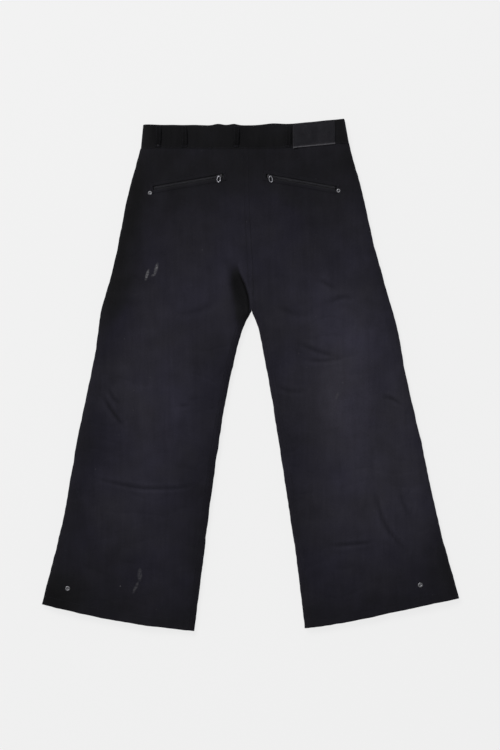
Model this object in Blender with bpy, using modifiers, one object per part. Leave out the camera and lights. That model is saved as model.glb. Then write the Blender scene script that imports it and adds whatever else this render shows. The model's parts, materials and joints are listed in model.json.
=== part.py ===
"""Ski pants, laid flat on their front with the back side up.

Metres. +Z is up, away from the surface the pants lie on, +Y points to the waist and +X to the
right as the back is seen. The origin is under the middle of the pants, on the surface.
The garment is a flattened tube: the front panels are its floor, the back panels are a hood whose
walls come down along the outseams and inseams, and the space between them takes the wearer.
"""

import math

import bmesh
import bpy
from mathutils import Matrix, Vector

# ---- Driving dimensions -------------------------------------------------------------------
GAP = 0.0003  # between pieces that touch
SHELL = 0.0026  # face fabric, filling and lining together
BACK_INNER = 0.0220  # height of the inner face of the back panels
BAND = 0.0030  # thickness of the waistband
FRONT_BAND_LOW = 0.0019  # the front waistband lies on its belt loops
FOLD_RADIUS = 0.0060  # how round the back panels fold down at their seams
BAND_FOLD_RADIUS = 0.0040
CURVE_STEPS = 4  # points to each span of an outline

BACK_OUTER = BACK_INNER + SHELL
BAND_TOP = BACK_INNER + BAND
FRONT_BAND_HIGH = FRONT_BAND_LOW + BAND

# Outlines, as seen from above: the points a tape would be put to, joined by smooth curves.
WAIST_TOP = [(-0.2250, 0.5240), (-0.1000, 0.5225), (0.0100, 0.5225), (0.0900, 0.5265),
             (0.1890, 0.53655), (0.1975, 0.5345)]
WAIST_SEAM = [(-0.2300, 0.4740), (-0.1100, 0.4728), (-0.0120, 0.4725), (0.0950, 0.4750),
              (0.2065, 0.4860)]
SEAT_SEAM_KNOT = 2  # the waist seam's point where the seat seam meets it
OUTSEAM_LEFT = [(-0.2300, 0.4740), (-0.2585, 0.3690), (-0.2856, 0.2340), (-0.3130, 0.1330),
                (-0.3276, 0.0330), (-0.3620, -0.1300), (-0.3930, -0.3035), (-0.4368, -0.4800)]
OUTSEAM_RIGHT = [(0.2065, 0.4860), (0.2373, 0.3690), (0.2620, 0.2600), (0.3066, 0.1000),
                 (0.3255, 0.0000), (0.3600, -0.1500), (0.3927, -0.3035), (0.4368, -0.4673)]
INSEAM_LEFT = [(0.0020, 0.1334), (-0.0190, 0.0860), (-0.0483, -0.0347), (-0.0798, -0.2363),
               (-0.1050, -0.4380), (-0.1176, -0.53655)]
INSEAM_RIGHT = [(0.0020, 0.1334), (0.0190, 0.0860), (0.0420, -0.0347), (0.0735, -0.2363),
                (0.0966, -0.3900), (0.1134, -0.5303)]
HEM_LEFT = [(-0.4368, -0.4800), (-0.3190, -0.5072), (-0.2184, -0.5240), (-0.1176, -0.53655)]
HEM_RIGHT = [(0.4368, -0.4673), (0.2898, -0.4988), (0.1890, -0.5198), (0.1134, -0.5303)]

# Fly and waist closure, on the front
FLY_X = 0.0020
FLY_FACING = 0.0180  # how far the left front laps over the zip
FLY_TOP = 0.4700
FLY_END = 0.3050
FRONT_BAND_WIDTH = 0.0460
TAB_PIVOT_X = -0.0280
TAB_TIP_X = 0.0220
TAB_THICK = 0.0025
TAB_LOW = FRONT_BAND_LOW
SNAP_Y = 0.4965
FLY_TAPE_TOP = 0.0077
FLY_COIL_HEIGHT = 0.0015
FLY_PULL_LENGTH = 0.0320

# Zips
TAPE_WIDTH = 0.0260
TAPE_THICK = 0.0008
COIL_WIDTH = 0.0034
SLIDER_LENGTH = 0.0120
SLIDER_WIDTH = 0.0074
WINDOW_WIDTH = 0.0082
POCKET_ZIP_LENGTH = 0.1480
POCKET_ZIP_START = -0.0080  # the slot's inner end, measured along it from the slider
POCKET_TAPE_Z = BACK_INNER - 0.0011
POCKET_COIL_HEIGHT = 0.0025
POCKET_ZIP_TILT = math.radians(10.0)
POCKET_SLIDER = {"left": (-0.0651, 0.4149), "right": (0.0410, 0.4148)}
POCKET_RIVET = {"left": (-0.2100, 0.3805), "right": (0.1838, 0.3849)}
PULL_WIDTH = 0.0094
PULL_LENGTH = 0.0138
PULL_WIRE = 0.00085
LINING = 0.0012  # thickness of the bags and flaps
BACK_BAG_Z = 0.0190
BACK_BAG_THICK = 0.0016

# Belt loops, each given by its middle
LOOP_WIDTH = 0.0120
LOOP_GAP = 0.0046  # room for a belt
LOOP_THICK = 0.0015
LOOP_FOOT = 0.0022
LOOP_BEND = 0.0012
BACK_LOOP_LOW, BACK_LOOP_HIGH = 0.4755, 0.5210
BACK_LOOPS = {"side_left": -0.1930, "back_left": -0.1390, "back_centre": -0.0300,
              "back_right": 0.0790}
FRONT_LOOPS = {"front_left": -0.1150, "front_right": 0.1000, "side_right": 0.1750}

# Hems
HEM_SNAP = {"left": (-0.3822, -0.4462), "right": (0.3549, -0.4389)}
HEM_TAB_LENGTH = 0.0400
HEM_TAB_WIDTH = 0.0140
HEM_TAB_THICK = 0.0012
HEM_TAB_Z = 0.0168
GAITER_CENTRE = {"left": (-0.2570, -0.3750), "right": (0.2430, -0.3750)}
GAITER_LENGTH = 0.1500
GAITER_WIDTH = 0.1700
GAITER_LOW, GAITER_HIGH = 0.0050, 0.0196
GAITER_SKIN = 0.0012
GAITER_TILT = math.radians(10.0)
ELASTIC_HEIGHT = 0.0280
SLEEVE_CORNER = 0.0060

SIDES = {"left": -1, "right": 1}


# ---- Scene and materials ------------------------------------------------------------------
for old in list(bpy.data.objects):
    bpy.data.objects.remove(old, do_unlink=True)


def new_collection(name):
    collection = bpy.data.collections.new(name)
    bpy.context.scene.collection.children.link(collection)
    return collection


PARTS = new_collection("ski_pants")
CUTTERS = new_collection("cutters")


def material(name, colour, roughness, metallic=0.0):
    made = bpy.data.materials.new(name)
    made.use_nodes = True
    shader = made.node_tree.nodes["Principled BSDF"]
    shader.inputs["Base Color"].default_value = (*colour, 1.0)
    shader.inputs["Roughness"].default_value = roughness
    shader.inputs["Metallic"].default_value = metallic
    return made


SHELL_CLOTH = material("shell_cloth", (0.017, 0.016, 0.021), 0.85)
LINING_CLOTH = material("lining_cloth", (0.022, 0.022, 0.025), 0.80)
PATCH_HIDE = material("patch_hide", (0.020, 0.020, 0.024), 0.50)
ZIP_CLOTH = material("zip_cloth", (0.030, 0.029, 0.034), 0.60)
ELASTIC = material("elastic", (0.018, 0.018, 0.020), 0.75)
METAL = material("antique_metal", (0.42, 0.42, 0.44), 0.35, 1.0)


# ---- Making shapes ------------------------------------------------------------------------
def smooth(points, steps=CURVE_STEPS):
    """The given points joined by a Catmull-Rom curve, with steps points to each span."""
    knots = [Vector(p) for p in points]
    ends = [2 * knots[0] - knots[1]] + knots + [2 * knots[-1] - knots[-2]]
    line = []
    for a, b, c, d in zip(ends, ends[1:], ends[2:], ends[3:]):
        for i in range(steps):
            t = i / steps
            line.append(0.5 * (2 * b + (c - a) * t + (2 * a - 5 * b + 4 * c - d) * t * t
                               + (3 * b - a - 3 * c + d) * t ** 3))
    return line + [knots[-1]]


def shifted(points, dx=0.0, dy=0.0):
    return [Vector((p[0] + dx, p[1] + dy)) for p in points]


def add_object(name, mesh, surface, collection=PARTS):
    made = bpy.data.objects.new(name, mesh)
    collection.objects.link(made)
    if surface:
        mesh.materials.append(surface)
    return made


def outline_curve(name, loops, thick):
    """A filled 2D curve, extruded to the given thickness about its own plane."""
    curve = bpy.data.curves.new(name, "CURVE")
    curve.dimensions = "2D"
    curve.fill_mode = "BOTH"
    curve.extrude = thick / 2
    for loop in loops:
        spline = curve.splines.new("POLY")
        spline.points.add(len(loop) - 1)
        for point, place in zip(spline.points, loop):
            point.co = (place[0], place[1], 0.0, 1.0)
        spline.use_cyclic_u = True
    return curve


def as_mesh(source, surface):
    """The curve object's shape as a welded mesh object of the same name and place."""
    bpy.context.view_layer.update()
    evaluated = source.evaluated_get(bpy.context.evaluated_depsgraph_get())
    mesh = bpy.data.meshes.new_from_object(evaluated)
    shape = bmesh.new()
    shape.from_mesh(mesh)
    bmesh.ops.remove_doubles(shape, verts=shape.verts, dist=0.00001)
    shape.to_mesh(mesh)
    shape.free()
    name, place = source.name, source.matrix_world.copy()
    bpy.data.objects.remove(source, do_unlink=True)
    mesh.materials.clear()
    made = add_object(name, mesh, surface)
    made.matrix_world = place
    return made


def slab(name, loops, low, high, surface):
    """A flat piece: an outline seen from above, between two heights."""
    made = add_object(name, outline_curve(name, loops, high - low), None)
    made.location.z = (low + high) / 2
    return as_mesh(made, surface)


# Turn a plane so that its outline, drawn as (across, up), stands on edge.
UPRIGHT_X = Matrix(((1, 0, 0), (0, 0, -1), (0, 1, 0))).to_4x4()  # drawn (x, z), runs along Y
UPRIGHT_Y = Matrix(((0, 0, 1), (1, 0, 0), (0, 1, 0))).to_4x4()  # drawn (y, z), runs along X


def extrusion(name, loop, length, place, surface):
    """A constant section: its outline, carried the given length each side of a place."""
    made = add_object(name, outline_curve(name, [loop], length), None)
    made.matrix_world = place
    return as_mesh(made, surface)


def turned(name, profile, centre, surface, steps=20, closed=False):
    """A round piece from a profile of (radius, height), its outer side from top to bottom."""
    mesh = bpy.data.meshes.new(name)
    shape = bmesh.new()
    points = [shape.verts.new((r, 0.0, z)) for r, z in profile]
    for a, b in zip(points, points[1:]):
        shape.edges.new((a, b))
    if closed:
        shape.edges.new((points[-1], points[0]))
    shape.to_mesh(mesh)
    shape.free()
    made = add_object(name, mesh, surface)
    made.location = centre
    spin = made.modifiers.new("spin", "SCREW")
    spin.axis = "Z"
    spin.steps = spin.render_steps = steps
    spin.use_merge_vertices = True
    spin.merge_threshold = 0.00005
    return made


def cutter(name, mesh, place):
    made = add_object(name, mesh, None, CUTTERS)
    made.matrix_world = place
    made.hide_render = True
    made.display_type = "WIRE"
    return made


def box_cutter(name, size, place):
    mesh = bpy.data.meshes.new(name)
    shape = bmesh.new()
    bmesh.ops.create_cube(shape, size=1.0, matrix=Matrix.Diagonal((*size, 1.0)))
    shape.to_mesh(mesh)
    shape.free()
    return cutter(name, mesh, place)


def round_cutter(name, radius, depth, place, segments=20):
    mesh = bpy.data.meshes.new(name)
    shape = bmesh.new()
    bmesh.ops.create_cone(shape, cap_ends=True, segments=segments, radius1=radius,
                          radius2=radius, depth=depth)
    shape.to_mesh(mesh)
    shape.free()
    return cutter(name, mesh, place)


def combine(target, other, operation):
    change = target.modifiers.new(operation.lower(), "BOOLEAN")
    change.operation = operation
    change.solver = "EXACT"
    change.object = other


def hood(name, loop, wall_edges, drop, thick, surface, fold):
    """A panel whose named edges fold down into walls.

    loop is the panel's outline at its outer face, wall_edges says which of the loop's edges
    turn down, and drop is how far below the outer face the walls reach.
    """
    shape = bmesh.new()
    corners = [shape.verts.new((p[0], p[1], 0.0)) for p in loop]
    face = shape.faces.new(corners)
    if face.normal.z < 0:
        face.normal_flip()
    shape.faces.ensure_lookup_table()
    ring = [shape.edges.get((corners[i], corners[(i + 1) % len(corners)]))
            for i in range(len(corners))]
    folds = [ring[i] for i in wall_edges]
    walls = bmesh.ops.extrude_edge_only(shape, edges=folds)["geom"]
    lowered = [v for v in walls if isinstance(v, bmesh.types.BMVert)]
    bmesh.ops.translate(shape, verts=lowered, vec=(0.0, 0.0, -drop))
    bmesh.ops.recalc_face_normals(shape, faces=shape.faces)
    if max(shape.faces, key=lambda f: f.calc_area()).normal.z < 0:
        bmesh.ops.reverse_faces(shape, faces=shape.faces)
    bmesh.ops.bevel(shape, geom=folds, offset=fold, segments=2, profile=0.5,
                    affect="EDGES", clamp_overlap=True)
    mesh = bpy.data.meshes.new(name)
    shape.to_mesh(mesh)
    shape.free()
    made = add_object(name, mesh, surface)
    shell = made.modifiers.new("thickness", "SOLIDIFY")
    shell.thickness = thick
    shell.offset = -1.0
    shell.use_even_offset = True
    return made


def at(x, y, z, turn=0.0):
    return Matrix.Translation((x, y, z)) @ Matrix.Rotation(turn, 4, "Z")


# ---- Body panels --------------------------------------------------------------------------
def leg_outline(side):
    """One half of the pants as seen from above, and how many points its parts have.

    It runs from the waist end of the seat seam along the waist seam to the side, down the
    outseam, along the hem and up the inseam to the crotch.
    """
    away = SIDES[side]
    seam = smooth(WAIST_SEAM)
    middle = SEAT_SEAM_KNOT * CURVE_STEPS
    waist = seam[middle::-1] if side == "left" else seam[middle:]
    outseam = smooth(OUTSEAM_LEFT if side == "left" else OUTSEAM_RIGHT)
    hem = smooth(HEM_LEFT if side == "left" else HEM_RIGHT)
    inseam = smooth(INSEAM_LEFT if side == "left" else INSEAM_RIGHT)[::-1]
    waist = shifted(waist[:-1], 0.0, -GAP)
    outseam[0] = outseam[0] - Vector((0.0, GAP))
    waist[0] = waist[0] + Vector((away * GAP / 2, 0.0))
    inseam[-1] = inseam[-1] + Vector((away * GAP / 2, 0.0))
    return waist, outseam, hem[1:-1], inseam


def back_panel(side):
    waist, outseam, hem, inseam = leg_outline(side)
    loop = waist + outseam + hem + inseam
    first_outseam = len(waist)
    first_inseam = len(waist) + len(outseam) + len(hem)
    wall_edges = list(range(first_outseam, first_outseam + len(outseam) - 1))
    wall_edges += range(first_inseam, first_inseam + len(inseam) - 1)
    drop = BACK_OUTER - SHELL - GAP
    made = hood(f"back_panel_{side}", loop, wall_edges, drop, SHELL, SHELL_CLOTH, FOLD_RADIUS)
    made.location.z = BACK_OUTER

    x, y = POCKET_SLIDER[side]
    turn = pocket_turn(side)
    reach = POCKET_ZIP_START + POCKET_ZIP_LENGTH / 2
    middle = at(x, y, BACK_OUTER, turn) @ Matrix.Translation((reach, 0.0, 0.0))
    window = box_cutter(f"window_{side}", (POCKET_ZIP_LENGTH, WINDOW_WIDTH, 0.010), middle)
    combine(made, window, "DIFFERENCE")
    for use, place, radius in (("rivet", POCKET_RIVET[side], 0.0015),
                               ("snap", HEM_SNAP[side], 0.0016)):
        hole = round_cutter(f"{use}_hole_{side}", radius, 0.012, at(*place, BACK_OUTER), 12)
        combine(made, hole, "DIFFERENCE")


def front_panel(side):
    """A flat panel: the left one laps over the zip, and both are scooped for a hand pocket."""
    away = SIDES[side]
    waist, outseam, hem, inseam = leg_outline(side)
    lap = FLY_X + FLY_FACING + (GAP if side == "right" else 0.0)
    start = Vector((lap, waist[0].y))
    scoop = hand_pocket_edge(side)
    waist = [p for p in waist[1:] if abs(p.x) < abs(scoop[0].x)]
    waist = [p for p in waist if away * (p.x - lap) > 0.004]
    outseam = [p for p in outseam if p.y < scoop[-1].y - 0.004]
    fly = [Vector((lap, FLY_END + 0.030)), Vector((lap - 0.004, FLY_END + 0.006)),
           Vector((inseam[-1].x, FLY_END - 0.010))]
    loop = [start] + waist + scoop + outseam + hem + inseam + fly[::-1]
    slab(f"front_panel_{side}", [loop], 0.0, SHELL, SHELL_CLOTH)


def hand_pocket_edge(side):
    """The curved mouth of a front hand pocket, from the waist seam to the outseam."""
    away = SIDES[side]
    low_side = {"left": (-0.2655, 0.3400), "right": (0.2437, 0.3400)}[side]
    return smooth([(away * 0.1330, 0.4722), (away * 0.1580, 0.3950), low_side], 5)


def hand_pocket_bag(side):
    """The bag with its facing, which shows inside the scooped mouth."""
    away = SIDES[side]
    side_x = {"left": (0.2220, 0.2500), "right": (0.2000, 0.2280)}[side]
    loop = [(away * 0.0900, 0.4700), (away * side_x[0], 0.4700), (away * side_x[1], 0.3600),
            (away * 0.2300, 0.2200), (away * 0.1900, 0.1950), (away * 0.1200, 0.2050),
            (away * 0.0900, 0.2600)]
    slab(f"hand_pocket_bag_{side}", [loop], SHELL + GAP, SHELL + GAP + LINING, LINING_CLOTH)


# ---- Waistband ----------------------------------------------------------------------------
def waistband_back():
    top, seam = smooth(WAIST_TOP), smooth(WAIST_SEAM)[::-1]
    loop = top + seam
    right_end, left_end = len(top) - 1, len(loop) - 1
    drop = BAND_TOP - FRONT_BAND_HIGH - GAP
    made = hood("waistband_back", loop, [right_end, left_end], drop, BAND, SHELL_CLOTH,
                BAND_FOLD_RADIUS)
    made.location.z = BAND_TOP


def seam_y(x):
    """Where the waist seam lies at a given place across the pants."""
    seam = smooth(WAIST_SEAM)
    for a, b in zip(seam, seam[1:]):
        if x <= b.x:
            return a.y + (b.y - a.y) * (x - a.x) / (b.x - a.x)
    return seam[-1].y


def waistband_fronts():
    """The two front halves: the left one stops at the closing tab's root, the right at its tip."""
    seam = smooth(WAIST_SEAM)
    for side, inner in (("left", TAB_PIVOT_X - TAB_THICK / 2 - 0.0005),
                        ("right", TAB_TIP_X + 2 * GAP)):
        away = SIDES[side]
        low = [Vector((inner, seam_y(inner)))]
        low += sorted((p for p in seam if away * (p.x - inner) > 0.004), key=lambda p: away * p.x)
        high = shifted(low, 0.0, FRONT_BAND_WIDTH)
        high[-1].x -= away * 0.0045
        slab(f"waistband_front_{side}", [low + high[::-1]], FRONT_BAND_LOW, FRONT_BAND_HIGH,
             SHELL_CLOTH)


def waist_tab():
    """The closing end of the waistband. It turns about its rounded root."""
    radius = TAB_THICK / 2
    root = [(radius * math.sin(a), radius * math.cos(a))
            for a in [-math.pi * i / 6 for i in range(7)]]
    tip = TAB_TIP_X - TAB_PIVOT_X
    loop = root + [(tip - 0.0006, -radius), (tip, -radius + 0.0006), (tip, radius - 0.0006),
                   (tip - 0.0006, radius)]
    depth = FRONT_BAND_WIDTH - 0.0040
    middle = seam_y(TAB_PIVOT_X) + FRONT_BAND_WIDTH / 2
    place = Matrix.Translation((TAB_PIVOT_X, middle, TAB_LOW + radius)) @ UPRIGHT_X
    made = extrusion("waist_tab", loop, depth, place, SHELL_CLOTH)
    hole = round_cutter("waist_snap_hole", 0.0019, 0.010, at(FLY_X, SNAP_Y, TAB_LOW), 12)
    combine(made, hole, "DIFFERENCE")


def stepped_flap(name, left, right, low, foot_low, thick, y_low, y_high):
    """A flap that lies level over the zip and steps down to the front piece that holds it."""
    slope = 0.010
    top = [(left, low + thick), (right, low + thick), (right + slope, foot_low + thick),
           (right + slope + 0.014, foot_low + thick)]
    under = [(x, z - thick) for x, z in reversed(top)]
    place = Matrix.Translation((0.0, (y_low + y_high) / 2, 0.0)) @ UPRIGHT_X
    extrusion(name, top + under, y_high - y_low, place, LINING_CLOTH)


def waist_snap():
    """Cap and socket on the tab, stud on the underlap."""
    cap = [(0.0, 0.0043), (0.0016, 0.0043), (0.0016, 0.0013), (0.0070, 0.0013),
           (0.0076, 0.0008), (0.0070, 0.0), (0.0, 0.0)]
    turned("waist_snap_cap", cap, (FLY_X, SNAP_Y, 0.0003), METAL)
    ring_low = TAB_LOW + TAB_THICK + GAP
    socket = [(0.0026, 0.0017), (0.0050, 0.0017), (0.0055, 0.0), (0.0026, 0.0)]
    turned("waist_snap_socket", socket, (FLY_X, SNAP_Y, ring_low), METAL, closed=True)
    stud = [(0.0, 0.0020), (0.0050, 0.0020), (0.0050, 0.0013), (0.0022, 0.0013),
            (0.0022, 0.0003), (0.0018, 0.0), (0.0, 0.0)]
    turned("waist_snap_stud", stud, (FLY_X, SNAP_Y, 0.0056), METAL)


def belt_loops():
    """Back loops stand off the waistband, front ones are pressed flat under it."""
    foot, high = BAND_TOP + GAP, BAND_TOP + GAP + LOOP_GAP + LOOP_THICK
    for name, x in BACK_LOOPS.items():
        low, top = BACK_LOOP_LOW, BACK_LOOP_HIGH
        loop = [(low, foot), (low, high - LOOP_BEND), (low + LOOP_BEND, high),
                (top - LOOP_BEND, high), (top, high - LOOP_BEND), (top, foot),
                (top - LOOP_FOOT, foot), (top - LOOP_FOOT, high - LOOP_THICK),
                (low + LOOP_FOOT, high - LOOP_THICK), (low + LOOP_FOOT, foot)]
        place = Matrix.Translation((x, 0.0, 0.0)) @ UPRIGHT_Y
        extrusion(f"belt_loop_{name}", loop, LOOP_WIDTH, place, SHELL_CLOTH)
    for name, x in FRONT_LOOPS.items():
        half = LOOP_WIDTH / 2
        low, high = seam_y(x) + 0.0020, seam_y(x) + FRONT_BAND_WIDTH - 0.0010
        loop = [(x - half, low), (x + half, low), (x + half, high), (x - half, high)]
        slab(f"belt_loop_{name}", [loop], 0.0, FRONT_BAND_LOW - GAP, SHELL_CLOTH)


def waist_patch():
    """A blank hide patch, as tall as the waistband."""
    loop = [(0.0890, 0.4745), (0.1770, 0.4830), (0.1765, 0.5335), (0.0885, 0.5245)]
    slab("waist_patch", [loop], BAND_TOP + GAP, BAND_TOP + GAP + 0.0016, PATCH_HIDE)


# ---- Zips ---------------------------------------------------------------------------------
def pocket_turn(side):
    """The zip's direction from its slider to its far end, as an angle about Z."""
    return math.pi + POCKET_ZIP_TILT if side == "left" else -POCKET_ZIP_TILT


def tee_section(tape_width, tape_z, tape_thick, coil_height):
    """A zip's section: two tapes with the closed coil standing on their meeting edges."""
    half, coil = tape_width / 2, COIL_WIDTH / 2
    return [(-half, tape_z), (half, tape_z), (half, tape_z + tape_thick),
            (coil, tape_z + tape_thick), (coil, tape_z + tape_thick + coil_height),
            (-coil, tape_z + tape_thick + coil_height), (-coil, tape_z + tape_thick),
            (-half, tape_z + tape_thick)]


def slider_section(roof_low, roof_high, flange_end):
    """A slider's section over the coil: a roof with a flange down each side."""
    half, channel = SLIDER_WIDTH / 2, COIL_WIDTH / 2 + GAP
    return [(-half, roof_high), (half, roof_high), (half, flange_end), (channel, flange_end),
            (channel, roof_low), (-channel, roof_low), (-channel, flange_end),
            (-half, flange_end)]


def pocket_zip(side):
    x, y = POCKET_SLIDER[side]
    turn = pocket_turn(side)
    section = tee_section(TAPE_WIDTH, POCKET_TAPE_Z, TAPE_THICK, POCKET_COIL_HEIGHT)
    along = Matrix.Translation((POCKET_ZIP_LENGTH / 2 - 0.0070, 0.0, 0.0)) @ UPRIGHT_Y
    extrusion(f"back_pocket_zip_{side}", section, POCKET_ZIP_LENGTH - 0.0040,
              at(x, y, 0.0, turn) @ along, ZIP_CLOTH)

    tape_top = POCKET_TAPE_Z + TAPE_THICK
    roof_low = tape_top + POCKET_COIL_HEIGHT + GAP
    roof_high = roof_low + 0.0012
    body = extrusion(f"back_pocket_slider_{side}",
                     slider_section(roof_low, roof_high, tape_top + 0.0004),
                     SLIDER_LENGTH, at(x, y, 0.0, turn) @ UPRIGHT_Y, METAL)
    eye_z = roof_high + 0.0018
    ear = box_cutter(f"ear_{side}", (0.0014, 0.0046, 0.0042), at(x, y, eye_z - 0.0002))
    combine(body, ear, "UNION")
    across = at(x, y, eye_z) @ Matrix.Rotation(math.pi / 2, 4, "Y")
    eye = round_cutter(f"eye_{side}", 0.0013, 0.010, across, 12)
    combine(body, eye, "DIFFERENCE")
    pocket_pull(side, (x, y, eye_z))


def pocket_pull(side, eye):
    """An oval wire ring through the slider's eye, lying down the leg on the fabric."""
    half_width, half_length = PULL_WIDTH / 2 - PULL_WIRE, PULL_LENGTH / 2 - PULL_WIRE
    curve = bpy.data.curves.new(f"back_pocket_pull_{side}", "CURVE")
    curve.dimensions = "3D"
    curve.bevel_depth = PULL_WIRE
    curve.bevel_resolution = 1
    spline = curve.splines.new("POLY")
    count = 20
    spline.points.add(count - 1)
    for i, point in enumerate(spline.points):
        angle = 2 * math.pi * i / count
        point.co = (half_width * math.sin(angle), half_length * (math.cos(angle) - 1), 0.0, 1.0)
    spline.use_cyclic_u = True
    made = add_object(curve.name, curve, METAL)
    lean = math.asin((eye[2] - BACK_OUTER - PULL_WIRE - GAP) / (2 * half_length))
    made.matrix_world = Matrix.Translation(eye) @ Matrix.Rotation(lean, 4, "X")


def pocket_rivet(side):
    """The metal rivet under the outer end of a back pocket, and the burr that backs it."""
    x, y = POCKET_RIVET[side]
    cap = [(0.0, 0.0008), (0.0014, 0.0008), (0.0020, 0.0018), (0.0034, 0.0020),
           (0.0045, 0.0012), (0.0047, 0.0), (0.0011, 0.0), (0.0011, -0.0040), (0.0, -0.0040)]
    turned(f"back_pocket_rivet_{side}", cap, (x, y, BACK_OUTER + GAP), METAL)
    burr = [(0.0015, 0.0008), (0.0044, 0.0008), (0.0044, 0.0), (0.0015, 0.0)]
    turned(f"back_pocket_burr_{side}", burr, (x, y, BACK_INNER - GAP - 0.0008), METAL, 16, True)


def back_pocket_bag(side):
    """The bag, pressed flat under the zip."""
    x, y = POCKET_SLIDER[side]
    away = SIDES[side]
    loop = [(x - away * 0.012, y + 0.0080), (x + away * 0.1500, y - 0.0180),
            (x + away * 0.1560, y - 0.1500), (x + away * 0.1300, y - 0.1720),
            (x + away * 0.0200, y - 0.1720), (x - away * 0.0040, y - 0.1550)]
    slab(f"back_pocket_bag_{side}", [loop], BACK_BAG_Z, BACK_BAG_Z + BACK_BAG_THICK, LINING_CLOTH)


def fly_zip():
    middle = (FLY_TOP + FLY_END) / 2
    upside_down = tee_section(TAPE_WIDTH, -FLY_TAPE_TOP, TAPE_THICK, FLY_COIL_HEIGHT)
    section = [(x, -z) for x, z in upside_down]
    place = Matrix.Translation((FLY_X, middle, 0.0)) @ UPRIGHT_X
    extrusion("fly_zip", section[::-1], FLY_TOP - FLY_END, place, ZIP_CLOTH)

    y = FLY_TOP - 0.0140
    section = [(x, -z) for x, z in slider_section(-0.0051, -0.0041, -0.0066)]
    place = Matrix.Translation((FLY_X, y, 0.0)) @ UPRIGHT_X
    body = extrusion("fly_slider", section[::-1], SLIDER_LENGTH, place, METAL)
    post = round_cutter("fly_post", 0.0011, 0.0014, at(FLY_X, y - 0.0040, 0.0037), 12)
    combine(body, post, "UNION")

    half = 0.0038
    tip, shoulder = y - FLY_PULL_LENGTH, y - FLY_PULL_LENGTH + 0.0040
    tab = [(FLY_X - half, y), (FLY_X + half, y), (FLY_X + half, shoulder),
           (FLY_X + half / 2, tip), (FLY_X - half / 2, tip), (FLY_X - half, shoulder)]
    hole = [(FLY_X + 0.0015 * math.cos(a), y - 0.0040 + 0.0015 * math.sin(a))
            for a in [2 * math.pi * i / 12 for i in range(12)]]
    slab("fly_pull", [tab, hole], 0.0029, 0.0038, METAL)


# ---- Hems ---------------------------------------------------------------------------------
def hem_snap(side):
    """A ring snap through the back panel, and the tab inside the leg that clips onto it."""
    x, y = HEM_SNAP[side]
    cap = [(0.0, 0.0007), (0.0016, 0.0007), (0.0024, 0.0020), (0.0038, 0.0022),
           (0.0050, 0.0013), (0.0053, 0.0), (0.0012, 0.0), (0.0012, -0.0034), (0.0, -0.0034)]
    turned(f"hem_snap_cap_{side}", cap, (x, y, BACK_OUTER + GAP), METAL)
    stud = [(0.0, 0.0024), (0.0014, 0.0024), (0.0014, 0.0031), (0.0045, 0.0031),
            (0.0045, 0.0021), (0.0018, 0.0021), (0.0018, 0.0003), (0.0014, 0.0), (0.0, 0.0)]
    turned(f"hem_snap_stud_{side}", stud, (x, y, 0.0183), METAL)
    socket = [(0.0022, 0.0019), (0.0044, 0.0019), (0.0048, 0.0), (0.0022, 0.0)]
    low = HEM_TAB_Z + HEM_TAB_THICK / 2 + GAP
    turned(f"hem_snap_socket_{side}", socket, (x, y, low), METAL, closed=True)

    radius = HEM_TAB_THICK / 2
    root = [(radius * math.sin(a), radius * math.cos(a))
            for a in [math.pi * i / 6 for i in range(7)]]
    reach = HEM_TAB_LENGTH + 0.0080
    loop = root + [(-reach, -radius), (-reach, radius)]
    place = Matrix.Translation((x, y + HEM_TAB_LENGTH, HEM_TAB_Z)) @ UPRIGHT_Y
    extrusion(f"hem_tab_{side}", loop, HEM_TAB_WIDTH, place, LINING_CLOTH)


def rounded_bar(width, low, high, corner, steps=3):
    """A flattened section with round ends, drawn as (across, up)."""
    across, top, bottom = width / 2 - corner, high - corner, low + corner
    loop = []
    for quarter, (x, z) in enumerate([(across, top), (-across, top), (-across, bottom),
                                      (across, bottom)]):
        for i in range(steps + 1):
            angle = math.pi / 2 * (quarter + i / steps)
            loop.append((x + corner * math.cos(angle), z + corner * math.sin(angle)))
    return loop


def sleeve(name, width, low, high, skin, length, place, surface):
    """A flattened tube, open at both ends."""
    outer = rounded_bar(width, low, high, SLEEVE_CORNER)
    inner = rounded_bar(width - 2 * skin, low + skin, high - skin, SLEEVE_CORNER - GAITER_SKIN)
    made = add_object(name, outline_curve(name, [outer, inner], length), None)
    made.matrix_world = place @ UPRIGHT_X
    as_mesh(made, surface)


def gaiter(side):
    """The snow gaiter inside the leg, with its elastic hem and its lace hook."""
    x, y = GAITER_CENTRE[side]
    turn = SIDES[side] * GAITER_TILT
    middle = at(x, y, 0.0, turn)
    sleeve(f"gaiter_{side}", GAITER_WIDTH, GAITER_LOW, GAITER_HIGH, GAITER_SKIN, GAITER_LENGTH,
           middle, LINING_CLOTH)
    reach = GAITER_LENGTH / 2 - ELASTIC_HEIGHT / 2
    band = middle @ Matrix.Translation((0.0, -reach, 0.0))
    stand_off = GAP + GAITER_SKIN
    sleeve(f"gaiter_elastic_{side}", GAITER_WIDTH + 2 * stand_off, GAITER_LOW - stand_off,
           GAITER_HIGH + stand_off, GAITER_SKIN, ELASTIC_HEIGHT, band, ELASTIC)

    curve = bpy.data.curves.new(f"lace_hook_{side}", "CURVE")
    curve.dimensions = "3D"
    curve.bevel_depth = 0.0008
    curve.bevel_resolution = 1
    curve.use_fill_caps = True
    route = smooth([(-0.004, 0.0, 0.0), (-0.004, -0.010, 0.0), (0.0, -0.014, 0.0),
                    (0.004, -0.010, 0.0), (0.004, -0.006, 0.0)], 3)
    spline = curve.splines.new("POLY")
    spline.points.add(len(route) - 1)
    for point, place in zip(spline.points, route):
        point.co = (*place, 1.0)
    made = add_object(curve.name, curve, METAL)
    made.matrix_world = middle @ Matrix.Translation((0.0, -GAITER_LENGTH / 2 - 0.0005,
                                                         GAITER_LOW + 0.0006))


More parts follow.
